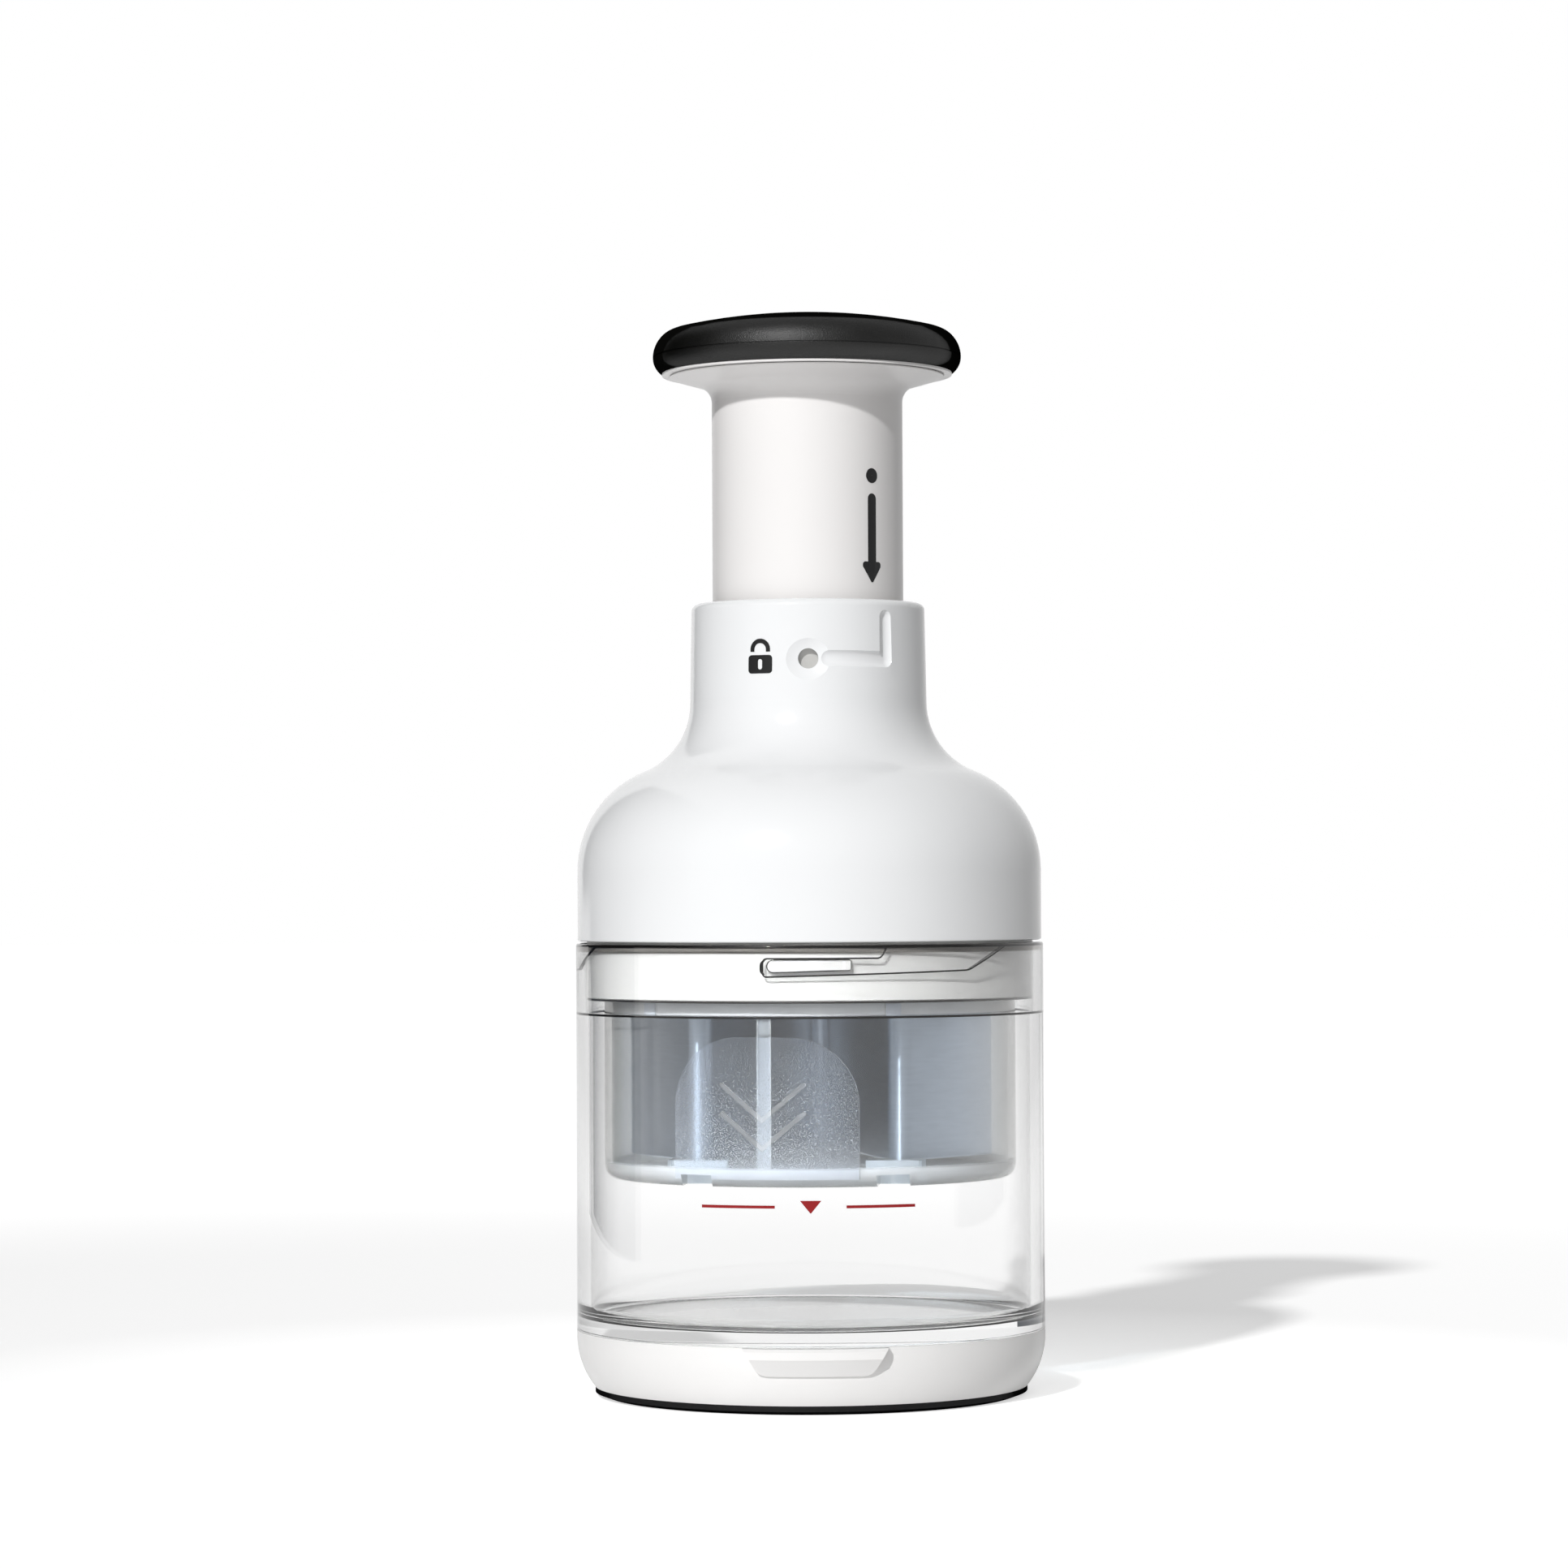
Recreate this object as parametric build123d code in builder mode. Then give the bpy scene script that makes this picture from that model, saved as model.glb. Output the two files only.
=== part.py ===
from build123d import *
from math import cos, radians, sin, sqrt
import os

# Press-plunger food chopper: palm knob, sprung tube, zigzag blade, guard, clear cup and clip-in base.
# Millimetres, +Z up, origin on the floor under the plunger's axis, front towards -Y.
# Angles round the axis are in degrees from the front, positive towards +X.

# Clearances
run_fit = 0.05
press_gap = 0.05
loose_fit = 0.3
seat_gap = 0.15
overrun = 5.0

# Motion that the stack of heights has to leave room for
press_stroke = 34.0
unlock_turn = 30.0
lock_turn = 40.5
rotor_turn = -4.7

# Foot ring
foot_height = 2.0
foot_inset = 3.9
foot_width = 4.2
foot_edge = 2.2
foot_edge_rise = 0.8
tongue_width = 2.0
tongue_height = 1.2

# Base cover and its pull tab
base_height = 12.25
base_floor = 2.3
base_wall = 2.1
base_straight = 1.5
base_foot_inset = 3.8
base_step = 2.4
tab_turn = 1.0
tab_top_width = 30.2
tab_bottom_width = 23.4
tab_reach = 2.6
tab_lip = 2.2
tab_height = 5.8
tab_corner = 3.0
tab_edge = 0.6

# Cup, its base spigot and its bayonet channels
cup_radius = 50.5
cup_wall = 3.0
cup_floor = 2.6
cup_floor_fillet = 3.0
cup_rim_round = 0.5
cup_overlap = 4.7
spigot_wall = 2.0
spigot_length = 6.0
socket_step = 0.9
socket_height = 14.8
channel_count = 3
channel_depth = 1.2
channel_roof_drop = 2.8
channel_floor_drop = 6.6
channel_floor_rise = 1.1
channel_corner = 1.5
channel_play = 1.6
channel_ramp = 14.5

# Blade and its holder
blade_floor_gap = 0.6
blade_shelter = 4.8
blade_thickness = 0.8
blade_fold_radius = 2.5
blade_bevel = 0.3
blade_root = 1.9
blade_end_x_share = 0.9545
blade_end_y_share = -0.0246
blade_front_x_share = 0.4945
blade_front_y_share = 0.738
blade_rear_y_share = 0.849
holder_thickness = 3.4
holder_gap = 0.7
holder_edge = 0.8
holder_spare = 2.5
screw_radius = 1.3
screw_length = 11.0
screw_head_radius = 2.2
screw_head_height = 1.5
screw_sink = 0.2

# Guard
guard_gap = 1.8
guard_wall = 1.6
guard_floor = 2.0
guard_edge_radius = 3.0
guard_top_drop = 3.6
slot_width = 2.4
notch_width = 6.5
notch_inset = 2.0
notch_height = 2.6
guide_width = 12.0
guide_depth = 9.0
guide_height = 3.3
paddle_turn = -12.55
paddle_width = 38.4
paddle_height = 29.5
paddle_corner = 14.0
paddle_raise = 0.5
chevron_width = 17.1
chevron_drop = 7.3
chevron_stroke = 0.9
chevron_pitch = 5.95
chevron_top_drop = 9.85
chevron_raise = 0.4
bump_turn = 35.0
bump_width = 3.4
bump_height = 2.8
bump_drop = 0.4
rib_width = 3.0
rib_depth = 1.1

# Collar
collar_wall = 1.9
collar_drop = 7.2
collar_upper_height = 5.5
collar_edge = 0.4
ledge_width = 1.6
ledge_height = 1.7
lug_start = -9.6
lug_end = 9.9
lug_reach = 1.3

# Guard spider with the spring post
arm_gap = 0.5
arm_height = 2.5
arm_width = 8.0
spider_wall = 1.4
spider_spigot = 3.6
spider_flange = 1.4
spider_flange_height = 1.4
rotor_arms = 3
hub_gap = 2.0
hub_rise = 2.5
post_inset = 4.8
post_height = 52.5
post_round = 1.5

# Spring and its two washers
spring_inset = 1.6
spring_wire = 1.2
spring_turns = 12
washer_height = 0.5
washer_gap = 0.2

# Yoke, follower and crown
travel_spare = 7.2
column_share = 0.259
screw_clear = 0.87
column_depth = 4.4
column_width = 7.0
column_round = 1.2
yoke_bore_gap = 0.7
yoke_lip = 0.6
yoke_lip_height = 1.6
yoke_lip_rise = 5.8
yoke_top = 9.8
yoke_shoulder = 1.3
yoke_shoulder_height = 1.5
tooth_count = 12
tooth_height = 2.0
tooth_gap = 0.4
tooth_lean_share = 0.8
tooth_fill_share = 0.86
follower_height = 2.0
crown_tooth_height = 1.8
crown_ring_height = 1.8
crown_sleeve_height = 3.0
crown_gap = 0.55

# Plunger tube
tube_radius = 20.65
tube_wall = 2.25
tube_lift = 0.2
keyway_width = 3.2
keyway_depth = 0.9
keyway_spare = 6.0
flare_spare = 9.7
flare_spread = 2.85
flare_height = 3.7
flange_inset = 3.7
flange_rise = 1.8
flange_edge = 0.25

# Bell housing
house_gap = 0.45
house_inset = 0.4
house_wall = 2.3
house_round = 23.0
neck_sweep = 16.0
neck_draft = 0.4
neck_rise = 1.8
neck_height = 21.3
rim_round = 1.5
skirt_round = 0.4
sight_drop = 12.8
sight_radius = 2.15
dish_bend = 14.9
dish_rise = 11.2
dish_depth = 1.2
groove_start = 8.5
groove_round = 2.0
groove_depth = 1.0
groove_top_drop = 3.9

# Neck bushing
bushing_wall = 2.15
bushing_drop = 1.3
window_radius = 2.6

# Knob
core_gap = 0.15
core_rim_inset = 2.0
core_rim_height = 0.5
plug_length = 11.5
plug_gap = 0.1
spring_boss_height = 7.0
grip_radius = 33.4
grip_skirt_inset = 1.8
grip_skirt_height = 3.4
grip_side_inset = 2.0
grip_side_height = 4.67
grip_crown_inset = 4.41
grip_crown_height = 5.91
grip_height = 9.15
grip_wall = 2.2
seam_width = 0.3
seam_depth = 0.2

# Heights, from the floor up
z_base_top = foot_height + base_height
z_cup = z_base_top + seat_gap
z_cup_floor = z_cup + cup_floor
z_blade = z_cup_floor + blade_floor_gap + press_stroke
z_guard = z_blade - blade_shelter
z_guard_floor = z_guard + guard_floor
z_holder = z_guard_floor + guide_height + press_stroke + holder_spare
z_holder_top = z_holder + holder_thickness
z_arm = z_holder_top + arm_gap
z_arm_top = z_arm + arm_height
z_guard_top = z_arm - guard_top_drop
z_cup_top = z_arm + cup_overlap
z_house = z_cup_top + house_gap
z_flange = z_arm - arm_gap
z_ledge_top = z_flange - loose_fit
z_collar = z_arm - collar_drop
z_follower = z_arm_top + press_stroke + travel_spare
z_follower_top = z_follower + follower_height
z_crown = z_follower_top + tooth_height + tooth_gap
z_crown_ring = z_crown + crown_tooth_height
z_crown_sleeve = z_crown_ring + crown_ring_height
z_crown_top = z_crown_sleeve + crown_sleeve_height
z_neck = z_crown_top + neck_rise
z_rim = z_neck + neck_height
z_bushing = z_crown_top + loose_fit
z_bushing_top = z_rim - bushing_drop
z_sight = z_rim - sight_drop
z_tube = z_follower_top + tube_lift
z_flare = z_rim + press_stroke + flare_spare
z_flange_edge = z_flare + flare_height + flange_rise
z_flange_top = z_flange_edge + flange_edge
z_core = z_flange_top + core_gap
z_grip = z_core + core_rim_height
z_equator = z_grip + grip_skirt_height
z_hub_top = z_arm_top + hub_rise
z_spring = z_hub_top + washer_height
z_boss = z_core - spring_boss_height
z_spring_top = z_boss - washer_height

# Radii, from the cup inwards and from the tube outwards
foot_radius = cup_radius - foot_inset
cup_inner = cup_radius - cup_wall
socket_radius = cup_inner + socket_step
channel_radius = socket_radius + channel_depth
base_bore = cup_radius - base_wall
spigot_radius = base_bore - loose_fit
collar_radius = socket_radius - loose_fit
collar_inner = collar_radius - collar_wall
ledge_radius = collar_inner - ledge_width
guard_radius = collar_inner - guard_gap
guard_inner = guard_radius - guard_wall
spider_outer = ledge_radius - 2 * loose_fit
spider_plug = guard_inner - press_gap
spider_inner = spider_plug - spider_wall
holder_radius = spider_inner - holder_gap
blade_end_x = holder_radius * blade_end_x_share
blade_end_y = holder_radius * blade_end_y_share
blade_front_x = holder_radius * blade_front_x_share
blade_front_y = holder_radius * blade_front_y_share
blade_rear_y = holder_radius * blade_rear_y_share
column_reach = holder_radius * column_share + blade_thickness / 2 + screw_clear + screw_head_radius
hub_radius = column_reach - column_depth / 2 - hub_gap
spring_radius = hub_radius - spring_inset
post_radius = hub_radius - post_inset
house_radius = cup_radius - house_inset
house_inner = house_radius - house_wall
tube_inner = tube_radius - tube_wall
flare_radius = tube_radius + flare_spread
flange_radius = grip_radius - flange_inset
core_rim_radius = grip_radius - core_rim_inset
bushing_inner = tube_radius + run_fit
bushing_radius = bushing_inner + bushing_wall
neck_bore = bushing_radius + run_fit
neck_radius = neck_bore + house_wall
neck_foot = neck_radius + neck_draft
neck_centre = neck_foot + neck_sweep
sight_face = neck_radius + neck_draft * sight_drop / neck_height
shoulder_centre = house_radius - house_round
yoke_radius = tube_inner - loose_fit
yoke_bore = hub_radius + yoke_bore_gap
crown_inner = tube_radius + crown_gap

# The bell's two arcs touch where the line between their centres crosses them
arc_run = neck_centre - shoulder_centre
arc_reach = house_round + neck_sweep
arc_rise = sqrt(arc_reach**2 - arc_run**2)
z_shoulder = z_neck - arc_rise
crown_bend = sqrt((neck_sweep + house_wall) ** 2 - (z_neck - z_crown_sleeve) ** 2)
crown_radius = neck_centre - crown_bend - press_gap


def facing(angle):
    """Plane through the axis that looks out at an angle from the front; its local Y is up."""
    turn = radians(angle)
    return Plane(origin=(0, 0, 0), x_dir=(cos(turn), sin(turn), 0), z_dir=(sin(turn), -cos(turn), 0))


def across(radius, angle):
    """Sideways distance, on a facing plane, of a point at an angle from that plane's middle."""
    return radius * sin(radians(angle))


def bell_point(radius):
    """Where the bell's shoulder arc of a given radius meets its neck arc."""
    return (shoulder_centre + radius * arc_run / arc_reach, z_shoulder + radius * arc_rise / arc_reach)


def blade_corners(spare):
    """Ends and folds of the zigzag, on the rotor's own axes, with its ends drawn out by a spare length."""
    run = blade_end_x - blade_front_x
    rise = blade_end_y + blade_front_y
    share = 1 + spare / sqrt(run**2 + rise**2)
    end_x = blade_front_x + run * share
    end_y = rise * share - blade_front_y
    return [
        (-end_x, end_y),
        (-blade_front_x, -blade_front_y),
        (0, blade_rear_y),
        (blade_front_x, -blade_front_y),
        (end_x, end_y),
    ]


def dome(inset):
    """Half outline of the knob from its equator to its crown, drawn in by an inset."""
    share = 1 - inset / grip_height
    side = TangentArc(
        (grip_radius - inset, z_equator),
        (grip_radius - inset - grip_side_inset, z_equator + grip_side_height * share),
        tangent=(0, 1),
    )
    shoulder = TangentArc(
        side @ 1,
        (grip_radius - grip_crown_inset - inset, z_equator + grip_crown_height * share),
        tangent=side % 1,
    )
    TangentArc((0, z_equator + grip_height - inset), shoulder @ 1, tangent=(1, 0))


# Each channel lets its lug in at the mouth, then turns it under the roof
channel_start = lug_start - channel_play
channel_mouth_start = lug_start + unlock_turn - channel_play
channel_roof_end = channel_mouth_start - channel_play
channel_floor_end = lug_end + unlock_turn + channel_play
channel_mouth_end = channel_floor_end + channel_ramp

rotor_plane = Plane.XY.rotated((0, 0, rotor_turn))
column_angles = [rotor_turn + 360 / rotor_arms * place for place in range(rotor_arms)]
arm_angles = [angle + 180 / rotor_arms for angle in column_angles]
lug_angles = [360 / channel_count * place for place in range(channel_count)]

# Foot ring: soft ring with a tongue that plugs into the base
tongue_radius = foot_radius - (foot_width - tongue_width) / 2
with BuildPart() as foot_ring:
    with BuildSketch(Plane.XZ):
        with BuildLine():
            Polyline(
                (foot_radius - foot_width, 0),
                (foot_radius - foot_edge, 0),
                (foot_radius, foot_edge_rise),
                (foot_radius, foot_height),
                (tongue_radius, foot_height),
                (tongue_radius, foot_height + tongue_height),
                (tongue_radius - tongue_width, foot_height + tongue_height),
                (tongue_radius - tongue_width, foot_height),
                (foot_radius - foot_width, foot_height),
                close=True,
            )
        make_face()
    revolve(axis=Axis.Z)
foot_ring.part.label = "foot_ring"

# Base cover: shallow moulded dish with a bowed wall and a thumb tab in front
base_foot_radius = cup_radius - base_foot_inset
z_base_step = z_cup - spigot_length - loose_fit
with BuildPart() as tab:
    with BuildSketch(facing(tab_turn)):
        with BuildLine():
            Polyline(
                (-tab_top_width / 2, z_base_top),
                (-tab_bottom_width / 2, z_base_top - tab_height),
                (tab_bottom_width / 2, z_base_top - tab_height),
                (tab_top_width / 2, z_base_top),
                close=True,
            )
        make_face()
        fillet(vertices().group_by(Axis.Y)[0], radius=tab_corner)
    extrude(amount=cup_radius + tab_reach + overrun)
    with BuildSketch(Plane.XZ):
        with BuildLine():
            Polyline(
                (cup_radius - base_wall / 2, z_base_top),
                (cup_radius + tab_reach - tab_edge, z_base_top),
                (cup_radius + tab_reach, z_base_top - tab_edge),
                (cup_radius + tab_reach, z_base_top - tab_lip),
                (cup_radius, z_base_top - tab_height),
                (cup_radius - base_wall / 2, z_base_top - tab_height),
                close=True,
            )
        make_face()
    revolve(axis=Axis.Z, mode=Mode.INTERSECT)
with BuildPart() as base_cover:
    with BuildSketch(Plane.XZ):
        with BuildLine():
            Line((0, foot_height), (base_foot_radius, foot_height))
            TangentArc(
                (cup_radius, z_base_top - base_straight),
                (base_foot_radius, foot_height),
                tangent=(0, -1),
            )
            Polyline(
                (cup_radius, z_base_top - base_straight),
                (cup_radius, z_base_top),
                (base_bore, z_base_top),
                (base_bore, z_base_step),
                (base_bore - base_step, z_base_step),
                (base_bore - base_step, foot_height + base_floor),
                (0, foot_height + base_floor),
                (0, foot_height),
            )
        make_face()
        with BuildLine():
            Polyline(
                (tongue_radius + press_gap, foot_height),
                (tongue_radius + press_gap, foot_height + tongue_height + press_gap),
                (tongue_radius - tongue_width - press_gap, foot_height + tongue_height + press_gap),
                (tongue_radius - tongue_width - press_gap, foot_height),
                close=True,
            )
        make_face(mode=Mode.SUBTRACT)
    revolve(axis=Axis.Z)
    add(tab.part)
base_cover.part.label = "base_cover"

# Cup: clear beaker with a stepped rim socket, three bayonet channels and a spigot for the base
channel_middle = (channel_start + channel_mouth_end) / 2
z_channel_roof = z_cup_top - channel_roof_drop
z_channel_floor = z_cup_top - channel_floor_drop
z_channel_rise = z_channel_floor + channel_floor_rise
with BuildPart() as channels:
    for angle in lug_angles:
        with BuildSketch(facing(angle + channel_middle)):
            with BuildLine():
                left = across(channel_radius, channel_start - channel_middle)
                mouth_end = across(channel_radius, channel_mouth_end - channel_middle)
                mouth_start = across(channel_radius, channel_mouth_start - channel_middle)
                Polyline(
                    (left, z_channel_floor),
                    (across(channel_radius, channel_floor_end - channel_middle), z_channel_rise),
                    (mouth_end, z_cup_top),
                    (mouth_end, z_cup_top + overrun),
                    (mouth_start, z_cup_top + overrun),
                    (mouth_start, z_cup_top - cup_rim_round),
                    (across(channel_radius, channel_roof_end - channel_middle), z_channel_roof),
                    (left, z_channel_roof),
                    close=True,
                )
            make_face()
            fillet(vertices().group_by(Axis.X)[0], radius=channel_corner)
        extrude(amount=channel_radius + overrun)
    with BuildSketch():
        Circle(channel_radius)
        Circle(cup_inner, mode=Mode.SUBTRACT)
    extrude(amount=z_cup_top + overrun, mode=Mode.INTERSECT)
with BuildPart() as cup:
    with BuildSketch(Plane.XZ):
        with BuildLine():
            Polyline(
                (0, z_cup),
                (spigot_radius - spigot_wall, z_cup),
                (spigot_radius - spigot_wall, z_cup - spigot_length),
                (spigot_radius, z_cup - spigot_length),
                (spigot_radius, z_cup),
                (cup_radius, z_cup),
                (cup_radius, z_cup_top),
                (socket_radius, z_cup_top),
                (socket_radius, z_cup_top - socket_height),
                (cup_inner, z_cup_top - socket_height),
                (cup_inner, z_cup_floor + cup_floor_fillet),
            )
            TangentArc(
                (cup_inner, z_cup_floor + cup_floor_fillet),
                (cup_inner - cup_floor_fillet, z_cup_floor),
                tangent=(0, -1),
            )
            Polyline((cup_inner - cup_floor_fillet, z_cup_floor), (0, z_cup_floor), (0, z_cup))
        make_face()
    revolve(axis=Axis.Z)
    fillet(cup.edges().group_by(Axis.Z)[-1].sort_by(SortBy.RADIUS)[-1], radius=cup_rim_round)
    add(channels.part, mode=Mode.SUBTRACT)
cup.part.label = "cup"

# Collar: skirt fixed in the bell, with the bayonet lugs outside and the guard's ledge inside
lug_middle = (lug_start + lug_end) / 2
lug_spread = across(collar_radius + lug_reach, (lug_end - lug_start) / 2)
z_lug = z_channel_rise + loose_fit
z_lug_top = z_channel_roof - loose_fit
with BuildPart() as lugs:
    for angle in lug_angles:
        with BuildSketch(facing(angle + lug_middle)):
            with Locations((0, (z_lug + z_lug_top) / 2)):
                Rectangle(2 * lug_spread, z_lug_top - z_lug)
        extrude(amount=cup_radius)
    with BuildSketch():
        Circle(collar_radius + lug_reach)
        Circle(collar_radius - collar_wall / 2, mode=Mode.SUBTRACT)
    extrude(amount=z_cup_top, mode=Mode.INTERSECT)
with BuildPart() as collar:
    with BuildSketch(Plane.XZ):
        with BuildLine():
            Polyline(
                (collar_inner, z_collar),
                (collar_radius - collar_edge, z_collar),
                (collar_radius, z_collar + collar_edge),
                (collar_radius, z_house - press_gap),
                (house_inner - press_gap, z_house - press_gap),
                (house_inner - press_gap, z_house + collar_upper_height),
                (collar_inner, z_house + collar_upper_height),
                (collar_inner, z_ledge_top),
                (ledge_radius, z_ledge_top),
                (ledge_radius, z_ledge_top - ledge_height),
                (collar_inner, z_ledge_top - ledge_height - ledge_width),
                close=True,
            )
        make_face()
    revolve(axis=Axis.Z)
    add(lugs.part)
collar.part.label = "collar"

# Bell housing: straight skirt, rounded shoulder, long concave sweep into the neck
groove_path = sight_face - groove_depth + groove_round
groove_x = across(groove_path, lock_turn)
groove_y = -groove_path * cos(radians(lock_turn))
groove_start_x = across(groove_path, groove_start)
groove_start_y = -groove_path * cos(radians(groove_start))
z_groove_top = z_rim - groove_top_drop
with BuildPart() as groove:
    with BuildSketch(Plane.YZ.rotated((0, 0, groove_start))):
        with Locations((-groove_path, z_sight)):
            Circle(groove_round)
    revolve(axis=Axis.Z, revolution_arc=lock_turn - groove_start)
    with BuildSketch(Plane.XY.offset(z_sight)):
        with Locations((groove_x, groove_y)):
            Circle(groove_round)
    extrude(amount=z_groove_top - z_sight)
    with Locations(
        (groove_start_x, groove_start_y, z_sight),
        (groove_x, groove_y, z_sight),
        (groove_x, groove_y, z_groove_top),
    ):
        Sphere(groove_round)
dish_centre = sight_face - dish_depth + dish_bend
with BuildPart() as dish:
    with BuildSketch(Plane.XZ.offset(dish_centre)):
        with Locations((0, z_sight)):
            Ellipse(dish_bend, dish_rise)
        with Locations((-dish_bend, z_sight)):
            Rectangle(2 * dish_bend, 2 * dish_rise, mode=Mode.SUBTRACT)
    revolve(axis=Axis((0, -dish_centre, 0), (0, 0, 1)))
with BuildPart() as housing:
    with BuildSketch(Plane.XZ):
        with BuildLine():
            Line((house_radius, z_house), (house_radius, z_shoulder))
            outer = TangentArc((house_radius, z_shoulder), bell_point(house_round), tangent=(0, 1))
            TangentArc(outer @ 1, (neck_foot, z_neck), tangent=outer % 1)
            Polyline(
                (neck_foot, z_neck),
                (neck_radius, z_rim),
                (neck_bore, z_rim),
                (neck_bore, z_neck),
                (neck_foot - house_wall, z_neck),
            )
            inner = TangentArc(
                (house_inner, z_shoulder), bell_point(house_round - house_wall), tangent=(0, 1)
            )
            TangentArc(inner @ 1, (neck_foot - house_wall, z_neck), tangent=inner % 1)
            Polyline((house_inner, z_shoulder), (house_inner, z_house), (house_radius, z_house))
        make_face()
    revolve(axis=Axis.Z)
    fillet(housing.edges().group_by(Axis.Z)[-1].sort_by(SortBy.RADIUS)[-1], radius=rim_round)
    fillet(housing.edges().group_by(Axis.Z)[0].sort_by(SortBy.RADIUS)[-1], radius=skirt_round)
    add(groove.part, mode=Mode.SUBTRACT)
    add(dish.part, mode=Mode.SUBTRACT)
    with BuildSketch(facing(0)):
        with Locations((0, z_sight)):
            Circle(sight_radius)
    extrude(amount=neck_radius + overrun, mode=Mode.SUBTRACT)
housing.part.label = "housing"

# Index crown: fixed ring of saw teeth under the neck
tooth_reach = across(crown_radius, 180 / tooth_count) * tooth_fill_share
with BuildPart() as crown_teeth:
    for place in range(tooth_count):
        with BuildSketch(facing(360 / tooth_count * place)):
            with BuildLine():
                Polyline(
                    (-tooth_reach, z_crown_ring + press_gap),
                    (tooth_reach, z_crown_ring + press_gap),
                    (tooth_reach * tooth_lean_share, z_crown),
                    close=True,
                )
            make_face()
        extrude(amount=crown_radius + overrun)
    with BuildSketch(Plane.XY.offset(z_crown)):
        Circle(crown_radius)
        Circle(crown_inner, mode=Mode.SUBTRACT)
    extrude(amount=z_crown_top - z_crown, mode=Mode.INTERSECT)
with BuildPart() as index_crown:
    with BuildSketch(Plane.XZ):
        with BuildLine():
            Polyline(
                (crown_inner, z_crown_ring),
                (crown_radius, z_crown_ring),
                (crown_radius, z_crown_sleeve),
                (neck_bore - press_gap, z_crown_sleeve),
                (neck_bore - press_gap, z_crown_top),
                (crown_inner, z_crown_top),
                close=True,
            )
        make_face()
    revolve(axis=Axis.Z)
    add(crown_teeth.part)
index_crown.part.label = "index_crown"

# Neck bushing: lock collar that turns in the neck and keys the tube
key_width = keyway_width - 2 * loose_fit
key_depth = keyway_depth - loose_fit
with BuildPart() as neck_bushing:
    with BuildSketch(Plane.XY.offset(z_bushing)):
        Circle(bushing_radius)
        Circle(bushing_inner, mode=Mode.SUBTRACT)
        with Locations((0, tube_radius + (bushing_wall - key_depth) / 2)):
            Rectangle(key_width, bushing_wall + key_depth)
        Circle(bushing_radius, mode=Mode.INTERSECT)
    extrude(amount=z_bushing_top - z_bushing)
    with BuildSketch(facing(lock_turn)):
        with Locations((0, z_sight)):
            Circle(window_radius)
    extrude(amount=neck_radius, mode=Mode.SUBTRACT)
neck_bushing.part.label = "neck_bushing"

# Plunger tube: straight tube flared out under the knob, keyed at the back, grooved near its foot
z_lip = z_follower + yoke_lip_rise
z_keyway_top = z_bushing_top + press_stroke + keyway_spare
with BuildPart() as plunger_tube:
    with BuildSketch(Plane.XZ):
        with BuildLine():
            Line((tube_radius, z_tube), (tube_radius, z_flare))
            flare = TangentArc((tube_radius, z_flare), (flare_radius, z_flare + flare_height), tangent=(0, 1))
            Polyline(
                flare @ 1,
                (flange_radius, z_flange_edge),
                (flange_radius, z_flange_top),
                (tube_inner, z_flange_top),
                (tube_inner, z_lip + yoke_lip_height + loose_fit),
                (tube_inner + yoke_lip, z_lip + yoke_lip_height + loose_fit),
                (tube_inner + yoke_lip, z_lip - loose_fit),
                (tube_inner, z_lip - loose_fit),
                (tube_inner, z_tube),
                (tube_radius, z_tube),
            )
        make_face()
    revolve(axis=Axis.Z)
    with BuildSketch(Plane.XY.offset(z_tube)):
        with Locations((0, tube_radius + (overrun - keyway_depth) / 2)):
            Rectangle(keyway_width, keyway_depth + overrun)
    extrude(amount=z_keyway_top - z_tube, mode=Mode.SUBTRACT)
plunger_tube.part.label = "plunger_tube"

# Knob core: rim, plug in the tube, spring boss and the dome under the grip
core_inset = grip_wall + press_gap
with BuildPart() as knob_core:
    with BuildSketch(Plane.XZ):
        with BuildLine():
            dome(core_inset)
            Polyline(
                (grip_radius - core_inset, z_equator),
                (grip_radius - core_inset, z_grip - press_gap),
                (core_rim_radius, z_grip - press_gap),
                (core_rim_radius, z_core),
                (tube_inner - plug_gap, z_core),
                (tube_inner - plug_gap, z_core - plug_length),
                (yoke_bore, z_core - plug_length),
                (yoke_bore, z_boss),
                (0, z_boss),
                (0, z_equator + grip_height - core_inset),
            )
        make_face()
    revolve(axis=Axis.Z)
knob_core.part.label = "knob_core"

# Knob grip: soft moulded cap with a parting line round its equator
with BuildPart() as knob_grip:
    with BuildSketch(Plane.XZ):
        with BuildLine():
            dome(0)
            skirt = TangentArc(
                (grip_radius, z_equator), (grip_radius - grip_skirt_inset, z_grip), tangent=(0, -1)
            )
            Polyline(
                skirt @ 1,
                (grip_radius - grip_wall, z_grip),
                (grip_radius - grip_wall, z_equator),
            )
            dome(grip_wall)
            Line((0, z_equator + grip_height - grip_wall), (0, z_equator + grip_height))
        make_face()
        with Locations((grip_radius, z_equator)):
            Rectangle(2 * seam_depth, seam_width, mode=Mode.SUBTRACT)
    revolve(axis=Axis.Z)
knob_grip.part.label = "knob_grip"

# Return spring: wound between the two washers, round the spring post
with BuildPart() as return_spring:
    spring_height = z_spring_top - z_spring - spring_wire - 2 * washer_gap
    with BuildLine(Plane.XY.offset(z_spring + washer_gap + spring_wire / 2)):
        coil = Helix(pitch=spring_height / spring_turns, height=spring_height, radius=spring_radius)
    with BuildSketch(Plane(origin=coil @ 0, z_dir=coil % 0)):
        Circle(spring_wire / 2)
    sweep(is_frenet=True)
return_spring.part.label = "return_spring"

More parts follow.
